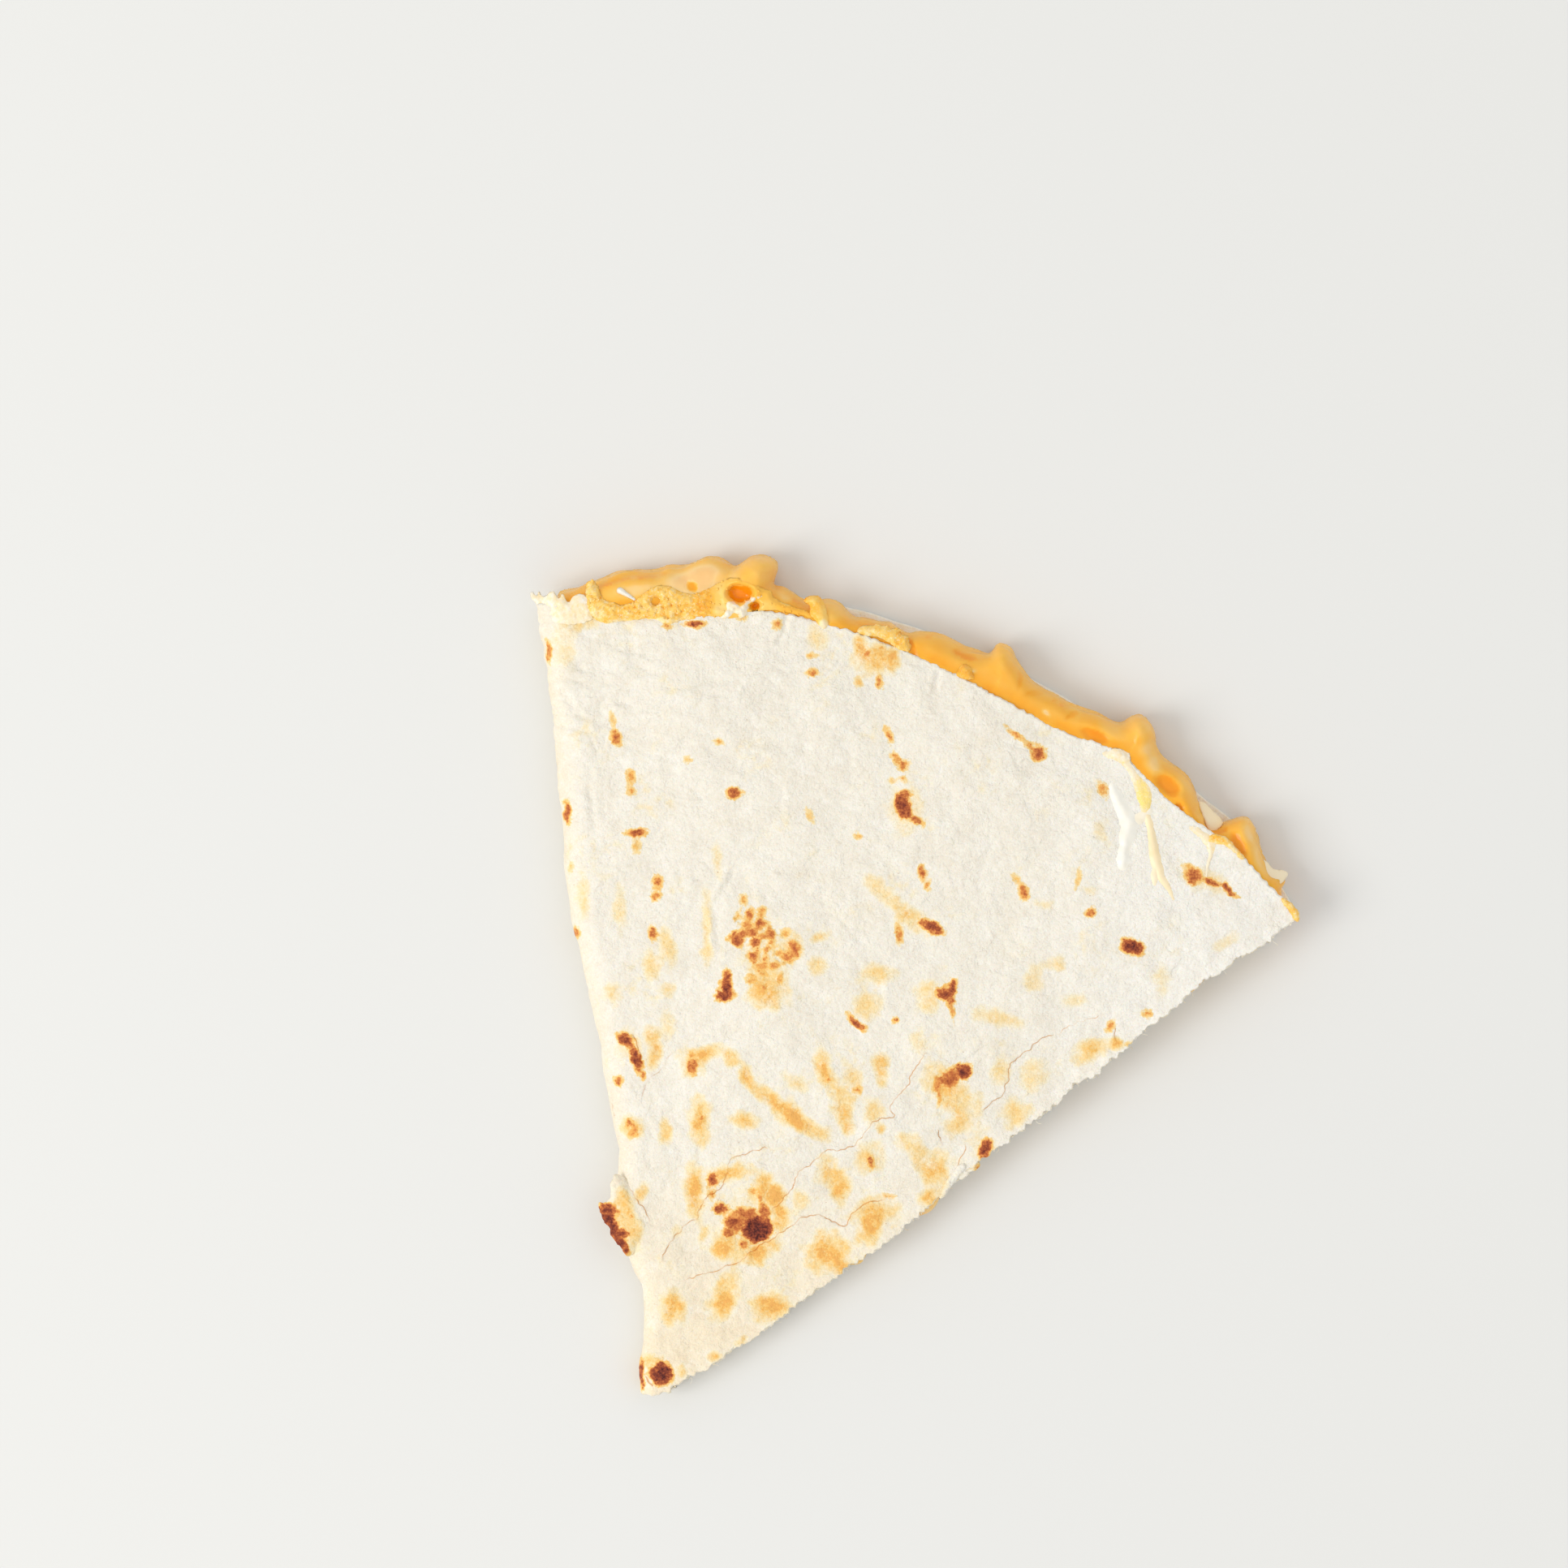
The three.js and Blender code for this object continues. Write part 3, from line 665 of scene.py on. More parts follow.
toasting = {
    # browned spots on the top leaf: x, y, width, height, turn in degrees, depth
    "spots": [
        (13.4, 94.2, 2.6, 1.8, 0, .78), (39.9, 92.2, 2.5, 4.4, 8, .86), (41.9, 89.9, 3, 1.3, -32, .78),
        (40.3, 94, 2.2, 1.4, 0, .8), (11.9, 62.4, 3.2, 2.3, 0, .88), (12.2, 63.8, 2.3, 2.8, 0, .88),
        (12.3, 65, 1.5, 3, 0, .84), (44.4, 73.1, 4.1, 1.9, -28, .84), (42.9, 73.9, 1.6, 1.4, 0, .8),
        (39.3, 72, 1.2, 3.1, 5, .62), (46.2, 62.7, 2.4, 1.9, -30, .85), (47.7, 63.5, 1.5, 3, 0, .86),
        (47.4, 61.5, 1.7, 1.7, 0, .8), (46.9, 62.7, 2.2, 2.2, 0, .84), (47.6, 59.8, .7, 2.4, 8, .62),
        (51.6, 35.4, 1.1, .6, 20, .76), (32.5, 58.2, 1.4, 3.8, 50, .84), (76, 70, 4, 2.6, -16, .93),
        (69.4, 75.4, 1.6, 1.5, 0, .78), (58.8, 78.5, 1.5, 2.4, 15, .74), (57.6, 80.6, .9, 1.6, 40, .5),
        (61.2, 100.4, 2.4, 2.4, 0, .78), (59.8, 101.6, 1.6, 1.1, -25, .72), (57.6, 103.3, 3.6, .9, -38, .6),
        (37.6, 103.4, .9, 2.4, 18, .68), (38.8, 99.6, 1.2, 2, 30, .62), (38.3, 96.2, 1.2, .9, 0, .6),
        (39.8, 96.4, 1, .8, 0, .58), (39.9, 98.6, 1.9, 1.5, 0, .66), (-2.9, 96.7, 1.3, 2.2, 5, .66),
        (-2.8, 94.6, 1.3, 1.6, 0, .62), (-5.2, 102.8, 1.7, 2.4, 8, .7), (-5.8, 105.6, .7, 2.6, 5, .42),
        (-2, 87.9, 3.4, 1.2, 0, .8), (-2.1, 85.9, 1.3, 2.6, 0, .45), (1.2, 80.2, 1.7, 2.2, 20, .74),
        (1.2, 78, 1.5, 1.6, -20, .66), (.6, 72.2, 1.5, 2.3, 0, .76), (-3.7, 55.3, 3.5, 2.3, -22, .86),
        (-2.1, 52.4, 1.6, 4.8, 16, .86), (-1.2, 50.1, 1, 2.2, 16, .68), (-4.9, 48.9, 1.4, 1.3, 0, .72),
        (6.8, 51.2, 1.8, 2.6, 0, .74), (6.7, 52.9, 1.1, 1.5, 0, .62), (-3.1, 42.2, 1.5, 1.5, 0, .74),
        (-2.3, 40.9, 1.7, 2.2, -20, .58), (8.4, 43.1, 1.1, 1.2, 0, .74), (49.3, 50.4, 2.9, 2.7, 10, .93),
        (45.6, 46.4, .9, 3, 0, .66), (28.3, 49.4, .9, 1.2, 0, .62), (32.6, 47.4, 1.3, 1.4, -20, .66),
        (34.9, 36.1, 1.3, 2.3, 0, .78), (21.7, 43.3, 1.6, 1.5, 0, .52), (37.8, 30.7, 1.6, .7, 0, .66),
        (52.8, 38.3, 2.2, 3.5, -12, .88), (10, 33.3, 1.9, 2.6, 0, .8), (9.7, 31, 1, 1.8, 0, .62),
        (11.2, 28.7, 2.4, 2, -12, .88), (13.2, 26.6, 3.2, 2.4, 25, .82), (12.2, 25, 2, 1.8, 0, .74),
        (16.9, 25.5, 5.4, 4.4, -8, .97), (18.1, 28.4, 1.8, 2.8, 0, .74), (16.4, 31.6, .9, 1.4, 10, .6),
        (17.4, 30.4, 1.2, 2, 20, .62), (14.9, 23, 1.9, 1.4, 0, .7), (1.9, 2.6, 3.9, 4.1, 10, .95),
        (-1.2, 2.5, 1, 4.8, 2, .9), (-16.1, 116.6, .9, 4.2, 4, .66), (-12.9, 91.1, 1.4, 3.3, 2, .8),
        (-11.6, 72.2, 1.2, 1.8, 5, .74), (7.3, 120.7, 3.4, 1.1, -6, .88), (2.7, 120.5, 1.1, .9, 0, .66),
        (19.9, 120.7, 1.5, 1.3, 0, .66), (25.4, 113.1, 1.9, 1.4, 0, .7), (25.6, 115.9, 1.3, 1, 0, .5),
        (34.3, 116.1, 1.6, 1.3, 30, .72), (36.4, 116.8, 1.2, 1, 0, .56), (36.2, 111.6, 1, 2.1, 25, .72),
        (32.9, 111.6, 1.4, 1.6, 0, .42), (25.3, 90.6, 1, 2.2, 22, .42), (32.8, 87.4, 1, .9, 0, .6),
        (11, 102.2, 1.3, 1, 0, .56), (6, 99.5, 1.1, .9, 0, .52), (42.9, 81.6, 1.3, 2.3, -10, .74),
        (43.7, 79.8, 1, 1.3, 0, .62), (67.3, 80.6, .9, 3.4, -12, .4), (85.6, 81.1, 3, 2.8, -10, .72),
        (88.2, 80.3, 3, 1.3, -24, .82), (91, 79, 3.6, 1.1, -42, .8), (84.8, 82.6, 1.6, 1.2, 0, .55),
        (72.6, 57.7, 1.5, 1.1, 40, .7), (72.2, 57, 1.2, .8, 30, .5), (78.3, 59.5, 1.3, 1, 0, .66),
        (75.5, 54.8, 1.2, .7, 20, .42), (71.4, 94.7, 1.4, 2.4, 20, .56), (38.9, 58.3, .9, .7, 15, .95),
        (-12.2, 82.6, .7, 1.4, 0, .4), (14.4, 121.6, 1.3, .7, 0, .5),
    ],
    "earSpots": [
        (-6.6, 28.5, 3.4, 2.4, -10, .9), (-6.7, 27.1, 2.9, 3.2, 15, .92), (-5.8, 25.4, 2.8, 3.4, 20, .92),
        (-4.5, 24.7, 3.2, 1.8, 10, .88), (-4.7, 23.3, 2.4, 3, 25, .92), (-3.8, 22.1, 1.4, 2.2, 30, .88),
        (-5, 28.2, .9, 1.1, 0, .8), (-2.9, 27.3, .8, .8, 0, .6), (-3.5, 28, .7, .9, 0, .6),
    ],
    # the same in mottled clusters
    "cluster": [
        (14.9, 77.4, 1.4, 1.9, 0, .54), (15.7, 74.9, 1.4, 2.9, -14, .74), (13.9, 74.7, 1.1, 1.7, 0, .62),
        (15.2, 73.6, 2.5, 1.8, 0, .62), (17.7, 75.5, 1.8, 2, -20, .62), (17.6, 73.6, 2.4, 2.1, -40, .7),
        (13.9, 71.2, 3.2, 2.4, 8, .78), (16, 72.2, 4, 1.7, 20, .7), (17.8, 71.9, 2.4, 1.8, 0, .62),
        (19.2, 71.7, 1.8, 3, 20, .7), (16.6, 70.5, 1.8, 2.2, 0, .74), (18.7, 69.7, 1.6, 1.6, 0, .64),
        (22.8, 69.6, 2.4, 3.2, -10, .66), (21.7, 68.3, 2.7, 2.2, 0, .68), (20.2, 69, 2.2, 1.2, -20, .58),
        (16.5, 68.5, 2.5, 2.4, 0, .7), (18.3, 68.1, 1.2, 1.2, 0, .58), (17.6, 66.9, 2.7, 1.8, 0, .62),
        (19.7, 67.1, 2.6, 1.6, 10, .64), (16.4, 64.9, 2.4, 2, 0, .54), (20.5, 65, 1.5, 2.4, 0, .55),
        (18.2, 63.7, 1.5, 1.3, 0, .64), (21.5, 72.2, 1.9, 1.5, 0, .48), (18.2, 65.5, 2.2, 1.4, 0, .52),
        (13.4, 27.4, 3, 2, 0, .66), (15.2, 27.9, 4, 2.8, 0, .68), (13.6, 26, 3.4, 2.6, 0, .68),
        (47.4, 49.3, 4.4, 3.2, 30, .72), (45.3, 48.3, 2, 3.4, 0, .55),
    ],
    # golden patches: x, y, width, height, turn, depth
    "gold": [
        (2.4, 41, 2, 3.8, 0, .32), (14.7, 42.8, 3.9, 2.6, -5, .36), (18.6, 46.4, 9, 2.2, -38, .32),
        (21.6, 44, 5, 3.4, -30, .34), (25, 41.6, 7, 2.6, -24, .36), (9.6, 53.4, 5.6, 2.2, 8, .3),
        (12.8, 52.6, 2.6, 3, -30, .28), (15.2, 49.8, 2.4, 3.6, 20, .3), (30.3, 44.6, 3.2, 6.6, 14, .34),
        (31, 41.6, 2, 2.6, 0, .26), (28, 49.6, 2.6, 4, 10, .34), (32.1, 49.2, 2.8, 4.4, 0, .26),
        (27, 52.4, 2.6, 5, 0, .28), (36.4, 51, 2.6, 5.6, 4, .34), (28.2, 34.4, 3.8, 4.8, 12, .34),
        (30.2, 31.8, 3.2, 4.8, -10, .38), (35.6, 28, 6.4, 4.6, 12, .4), (34.4, 24.9, 4.6, 3.6, 0, .34),
        (27.9, 21.7, 6.3, 6, 0, .46), (30.6, 19.4, 3.8, 3, -30, .36), (44.9, 34.6, 4, 6.4, -12, .36),
        (42.2, 37.4, 3, 3.6, 0, .26), (44, 30.2, 3.4, 3, 0, .32), (3.6, 13.1, 4.2, 5.2, 0, .42),
        (11.9, 14.5, 4.2, 7, -18, .42), (19, 13.3, 5.6, 5, 8, .44), (10.5, 5.3, 2.6, 1.8, 30, .38),
        (57.6, 43.9, 4.6, 4, 20, .28), (60.4, 49.6, 4, 5.6, -20, .22), (55.3, 50.3, 3, 4.4, -28, .24),
        (69.5, 53.8, 5.4, 3.4, 35, .34), (73.6, 54.7, 2, 1.6, 0, .42), (37.4, 78, 9, 2.8, -42, .22),
        (35.8, 65.7, 5.2, 3.6, 0, .26), (41.4, 74.2, 5.6, 3.4, -38, .24), (34.2, 60.9, 4.6, 4.2, 0, .26),
        (43.8, 62.3, 4, 5.4, 0, .24), (26.6, 67.4, 3, 3, 0, .26), (54.7, 58.8, 8, 2.6, -12, .22),
        (63.8, 67.4, 3.6, 2.4, 0, .22), (9.1, 75.4, 1.8, 7.4, 4, .2), (2.8, 70.1, 2.8, 7.4, 10, .24),
        (-5.6, 62.9, 3.4, 2.8, 0, .2), (2.8, 63.3, 2.4, 2, 0, .24), (10.8, 83.5, 1.6, 5.4, 6, .18),
        (9, 69.2, 1.8, 5.4, 0, .22), (.4, 67, 2.6, 5.4, 0, .26), (-4.6, 75.8, 2.2, 7.6, 0, .2),
        (-10.4, 78, 2.6, 7, 0, .2), (18.4, 63, 6, 5, 0, .34), (18.4, 68.2, 8.2, 13, 8, .16),
        (47.6, 46.8, 5.4, 5.2, 20, .28), (48.7, 42.2, 3.6, 4.6, -8, .3), (45.4, 49.2, 5.2, 5, 0, .28),
        (7.2, 31.4, 3.2, 8, 6, .46), (12.6, 34.4, 6.4, 2.6, 12, .42), (18.1, 32, 4.2, 4, 0, .44),
        (20.6, 27.8, 2.8, 4.4, 0, .4), (16.9, 21.6, 5.4, 3, 30, .44), (11.8, 22.4, 3.8, 3.8, -20, .46),
        (8.3, 24.4, 1.6, 2.8, 0, .32), (15.6, 26.2, 11, 10, 0, .17), (7.9, 43.9, 3.4, 4.4, 0, .36),
        (7.9, 40.6, 3, 3.6, 0, .34), (4.2, 25.4, 2.2, 2.4, 0, .16), (36.4, 41.5, 1.6, 1.4, 0, .3),
        (20.2, 31.4, 2.4, 3, -20, .4), (-3.4, 26.2, 3.6, 8.4, 15, .34), (-1.3, 31.2, 1.8, 3.4, -15, .34),
        (-4.6, 30.6, 2.4, 2.4, 0, .24), (35.5, 115.2, 6.2, 5.4, 0, .38), (33.2, 118, 2.2, 3.2, 0, .3),
        (38.2, 115.6, 1.8, 3.4, 0, .34), (.4, 55.4, 2.2, 4.4, 8, .34), (.8, 52.4, 2.2, 3.8, -8, .3),
        (-7.6, 46.2, 1.8, 4.8, 8, .26), (26.4, 118.6, 3.2, 4.6, 0, .2), (87.2, 80.6, 8.4, 3.6, -26, .2),
        (40.3, 91.8, 5.2, 7, 8, .22), (52.7, 38.3, 4, 5.2, 0, .2), (34.6, 36.9, 3.8, 5.6, 0, .3),
        (-2.5, 41.6, 3.6, 3.2, 0, .32), (6.8, 52, 4.4, 4.6, 0, .32), (-3.2, 54.4, 4.6, 4.6, 0, .26),
        (22.6, 70, 3.4, 3.6, 0, .26), (26.6, 71.5, 3, 1.6, 10, .3), (42.5, 55, 3, 4.4, 0, .16),
        (3, 57.6, 2.6, 6, 0, .16), (40.6, 39.5, 4.6, 3, 0, .2), (51.5, 44.8, 2.6, 4.2, 0, .2),
        (24, 30, 2.6, 3.6, 0, .2), (-13.4, 117.5, 4.4, 9, 0, .16), (-10.5, 122, 7, 4, 0, .26),
        (14.6, 7.6, 2.4, 1.8, 30, .3), (5, 3, 2, 2.2, 0, .3), (.4, 4.6, 4, 2.4, 0, .3),
        (23.2, 48.6, 5, 2.6, -30, .2), (35.2, 44.2, 3, 4.8, 12, .24), (66.6, 61.6, 4.4, 2.4, 12, .16),
        (69, 79, 3, 1.6, 0, .14), (80.4, 64.8, 3.2, 4.4, 0, .14), (60.4, 65, 3, 4.6, 0, .2),
        (90.6, 70.8, 5, 2, 40, .14), (62, 76.6, 4.4, 1.6, 0, .14), (71, 88, 2, 5, 20, .14),
    ],
    "underside": {"seed": 7, "gold": 90, "spots": 46},  # how many golden patches and spots
    "creamTip": 70,  # the leaf is creamier up to here from the tip
}

cracking = {
    # hairline cracks in the top leaf's skin: points, depth, and the side whose lip stands up
    "lines": [
        ([(63.9, 56.3), (60.9, 55.3), (59.8, 54), (58.4, 53.3), (56.7, 51), (56.3, 49.1), (55.4, 46.8),
         (54, 45.8), (52.1, 44.2)], .34, 1),
        ([(44.5, 54.2), (43.3, 53), (41.7, 50.7), (40.7, 48.7), (39.4, 46.8), (37.9, 44.8), (38.4, 43.5),
         (35.5, 42.6), (33.8, 41), (32.5, 39.3), (30, 38), (28.1, 38), (26.3, 36.6), (23.5, 34.2),
         (22.6, 32.3), (20.7, 30.1), (18.5, 27.9)], .26, -1),
        ([(19.1, 37.3), (18.2, 38.4), (17, 38), (13.9, 37.1), (12.5, 36.4), (12.2, 33.8), (11.1, 32),
         (9.3, 30.8), (8.3, 29.2), (7.4, 27.1), (5.9, 26.4), (3.7, 24.2), (2.4, 22.1), (1.4, 19.5)], .22, 1),
        ([(38, 30.3), (35.2, 30.1), (33, 29), (31.5, 27), (30.3, 26.3), (28.1, 27.2), (26.9, 27.8),
         (24.1, 27.6), (22.6, 26.4), (21, 25.2), (17.6, 23), (15.4, 21.5), (13.9, 20.1), (12.1, 19.8),
         (9.6, 18.8), (7.1, 18), (4, 17.4)], .24, -1),
        ([(3.4, 53.7), (1.5, 50.4), (0, 48.7), (-1.3, 46.2)], .1, 1),
        ([(-3.6, 33.6), (-2.5, 31.7), (-1.5, 29.6), (-.4, 28.2), (.2, 26.3)], .24, 1),
        ([(49.7, 39.4), (49.4, 37), (47.2, 33.8), (45.9, 30.9)], .22, -1),
        ([(45.2, 41.4), (46.1, 39)], .2, 1), ([(73.2, 57.5), (73.2, 55.6)], .2, 1),
        ([(63.9, 56.3), (66.7, 57.9), (70.9, 59.5)], .12, 1),
        ([(-.8, 4.8), (-.3, 3.2), (.1, 1.8), (.7, .5)], .5, 1),
        ([(-6.1, 45.8), (-5.8, 44.2), (-5.3, 42.4), (-4.9, 40.9)], .45, 1),
        ([(-5.3, 45.6), (-4.9, 43.8), (-4.9, 42.6)], .3, -1),
        ([(-2.6, 56.6), (-1.8, 54.6), (-1.2, 52.6), (-1, 51.2)], .18, 1),
    ],
    "step": 0.3,
    "rows": (-0.42, -0.15, 0.0, 0.15, 0.42),  # where rows of points follow a crack
    "width": 0.13,
    "lip": 0.13,  # height of the lip, and over which distance it fades
    "lipRun": 0.9,
}

wrinkling = {
    # short creases of the top leaf: start, end, depth
    "lines": [
        ((-10.8, 111.3), (-3.8, 111.5), .16), ((-8.8, 108.1), (-1.8, 108.5), .16),
        ((-4.8, 114.8), (-1.8, 114.9), .12), ((-3.4, 112.2), (4.7, 113.8), .15),
        ((-1.1, 106.9), (3.4, 107.9), .14), ((-13.1, 109.1), (-11.4, 107.3), .16),
        ((21.9, 122.7), (21.2, 118.5), .22), ((21.2, 118.5), (19.4, 117.3), .18),
        ((46.2, 113.4), (45.2, 109.5), .2), ((-8, 103), (-5, 104.4), .1), ((3, 116.6), (12, 117.4), .12),
        ((8, 111), (16, 112.4), .1), ((13.1, 83.2), (9.6, 76.8), -.22), ((9.6, 76.8), (10.3, 69.2), -.2),
        ((-13, 100.5), (-12, 92), .12), ((-9.6, 97), (-9, 88), .1),
    ],
    "width": 0.45,
}


def browned(x, y, spots, gold):
    # golden tint, depth inside the nearest brown spot in mm, and how dark that spot is
    wx = x + 0.5 * cloud(x, y, 2.0, 31)
    wy = y + 0.5 * cloud(x, y, 2.0, 37)
    patchy = 0.5 + 0.5 * cloud(x, y, 2.4, 41)
    pale = np.ones_like(x)
    for oval in gold:
        near = closeTo(x, y, oval, 11)
        share = 0.86 * ovalShare(wx[near], wy[near], oval) + 1.05 * (patchy[near] - 0.5)
        pale[near] *= 1 - oval[5] * (1 - ease((share - 0.1) / 1.35))
    inside, dark = np.full(x.shape, -2.0), np.zeros(x.shape)
    for oval in spots:
        near = closeTo(x, y, oval, 9)
        deep = (1 - ovalShare(wx[near], wy[near], oval)) * math.sqrt(oval[2] * oval[3]) / 2
        weight = np.clip((deep - inside[near]) / 0.5 + 0.5, 0, 1)
        dark[near] = mix(dark[near], oval[5], weight)
        inside[near] = softMax(inside[near], deep, 0.4)
    return 1 - pale, inside, dark


def undersideSpots():
    # the bottom leaf's own toasting, scattered over the wedge
    draw = np.random.default_rng(toasting["underside"]["seed"])

    def scattered(count, low, high, depthLow, depthHigh):
        r = 124 * np.sqrt(draw.uniform(0.001, 1, count))
        t = heading - np.radians(draw.uniform(2, 60, count))
        w, h = draw.uniform(low, high, (2, count))
        turn = draw.uniform(-90, 90, count)
        depth = draw.uniform(depthLow, depthHigh, count)
        return np.stack([r * np.cos(t), r * np.sin(t), w, h, turn, depth], 1)

    gold = scattered(toasting["underside"]["gold"], 3, 9, .22, .44)
    spots = scattered(toasting["underside"]["spots"], 1.2, 4.2, .6, .95)
    return spots, gold


def crackLine(k, points):
    line = softLine(points, cracking["step"])
    run = np.arange(len(line)) * cracking["step"]
    jag = 0.28 * wave(run, k, 0.9, 71) + 0.32 * wave(run, k, 2.6, 72)
    return line + sideOf(line) * jag[:, None]


cracks = [(crackLine(k, points), depth, side) for k, (points, depth, side) in enumerate(cracking["lines"])]


def crackField(x, y):
    # signed distance to the nearest crack, its depth there, and its lip's side
    signed, depth, lip = np.full(x.shape, 9.0), np.zeros(x.shape), np.ones(x.shape)
    for line, deep, side in cracks:
        near = boxedBy(x, y, line, 3)
        away, share = distanceTo(line, x[near], y[near])
        fade = deep * ease(share / 0.08) * ease((1 - share) / 0.08)
        fade = fade * (0.4 + 0.6 * ease(0.5 + 1.5 * swirl(x[near], y[near], 2.0, 73)))
        nearer = np.abs(away) < np.abs(signed[near])
        for field, value in ((signed, away), (depth, fade), (lip, side)):
            field[near] = np.where(nearer, value, field[near])
    return signed, depth, lip


def topRelief(x, y):
    # height of the top leaf's skin above its even surface, in millimetres
    wx, wy = stirred(x, y, 1.6, 6, 91)
    relief = 0.34 * swirl(x, y, 15, 51) + 0.24 * swirl(wx, wy, 6.5, 52) + 0.11 * swirl(wx, wy, 3.0, 65)
    dents = (1 - np.abs(swirl(wx, wy, 5.2, 53))) ** 7
    fineDents = (1 - np.abs(swirl(wx + 40, wy, 2.8, 54))) ** 7
    relief -= (0.16 * dents * ease(0.5 + swirl(x, y, 12, 55))
               + 0.07 * fineDents * ease(0.4 + swirl(x, y, 9, 66)))
    relief += 0.075 * cloud(x, y, 1.7, 56)
    along, across = foldPlace(x, y)
    upper = ease((along - 78) / 30) * ease((58 - across) / 36)
    folds = (1 - np.abs(swirl(wx / 3.0, wy, 2.7, 57))) ** 5
    relief -= (0.4 * upper * folds * ease(0.6 + swirl(x, y, 8, 67))
               - 0.1 * upper * swirl(wx / 2.6, wy, 2.2, 58))
    width = wrinkling["width"]
    px, py = wx * 0.35 + x * 0.65, wy * 0.35 + y * 0.65
    for start, end, deep in wrinkling["lines"]:
        near = closeTo(x, y, ((start[0] + end[0]) / 2, (start[1] + end[1]) / 2), 8)
        away, share = distanceTo([start, end], px[near], py[near])
        ends = ease(share / 0.3) * ease((1 - share) / 0.3)
        trough = np.exp(-(away / width) ** 2)
        shoulder = np.exp(-((np.abs(away) - 2 * width) / width) ** 2)
        relief[near] -= 1.6 * deep * ends * (trough - 0.4 * shoulder)
    return relief


def markRelief(relief, x, y, char, signed, deep, side):
    # the same with char, which stands up, and with cracks: a groove, and a lip on one side
    relief += char * (0.1 + 0.14 * cloud(x, y, 0.9, 59, 2))
    away = np.abs(signed)
    groove = np.exp(-(away / cracking["width"]) ** 2) * deep
    lip = np.exp(-away / cracking["lipRun"]) * np.where(signed * side > 0, 1.0, -0.35)
    relief += cracking["lip"] * lip * np.minimum(1, deep / 0.2) - 0.12 * groove
    return relief


def bottomRelief(x, y, char):
    relief = 0.12 * cloud(x, y, 4.0, 61) - 0.1 * (1 - np.abs(swirl(x, y, 6, 62))) ** 5
    return np.minimum(0, relief + 0.1 * char - 0.12)


# tortilla: the mesh

def sheetPoints(flat, depth):
    # depth runs from 1 on the outer face to -1 on the inner one; the rim is thinner than the leaf
    middle = sheetMiddle(*flat.T)
    normal = sheetNormal(*flat.T)
    level = half - (1 - depth) * half * leafThin(np.hypot(middle[:, 0], middle[:, 1]))
    return middle + normal * level[:, None], normal, middle


def skins(ring, edge):
    # points and triangles of the sheet's outer skin, finer where it shows, and of its inner one
    edgeTree = treeOf(edge)
    rows = [unroll(*(line + sideOf(line) * offset).T) for line, _, _ in cracks for offset in cracking["rows"]]
    rows = clearOf(np.concatenate(rows), edgeTree, 0.25)
    low, high = ring.min(0), ring.max(0)
    fine = clearOf(evenPoints((low[0], sheet["fineTo"]), high, sheet["fineStep"], 3), edgeTree, 0.26)
    fine = clearOf(fine, treeOf(rows), 0.26)
    coarse = evenPoints(low, (high[0], sheet["fineTo"] - 0.5), sheet["coarseStep"], 5)
    coarse = clearOf(coarse, edgeTree, 0.4)
    inner = evenPoints(low, high, sheet["innerStep"], 7)
    nearFold = evenPoints((low[0], -8.4), (high[0], 8.4), 1.0, 9)
    inner = clearOf(np.concatenate([inner[np.abs(inner[:, 1]) > 9], nearFold]), edgeTree, 0.5)
    return *triangulate([edge], np.concatenate([rows, fine, coarse])), *triangulate([edge], inner)


def skinMarks(flat, outer, x, y):
    # golden tint, depth inside brown spots and how dark they are, over the outer skin
    onTop = flat[:, 1] > -2
    marks = np.zeros((3, len(flat)))
    tint, inside, dark = marks
    seen = outer[onTop, 0], outer[onTop, 1]
    marks[:, onTop] = browned(*seen, toasting["spots"], toasting["gold"])
    _, mottled, mottledDark = browned(*seen, toasting["cluster"], [])
    mottled += 0.5 * cloud(*seen, 1.2, 43) - 0.1
    mottledDark *= 1 + 0.3 * cloud(*seen, 1.6, 44, 2)
    dark[onTop] = np.where(mottled > inside[onTop], mottledDark, dark[onTop])
    inside[onTop] = np.maximum(mottled, inside[onTop])
    marks[:, ~onTop] = browned(x[~onTop], y[~onTop], *undersideSpots())
    turn = np.where(onTop, ease((flat[:, 1] + 1.4) / 1.6), ease((-flat[:, 1] - 2) / 5))
    return onTop, tint * turn, inside, dark * turn


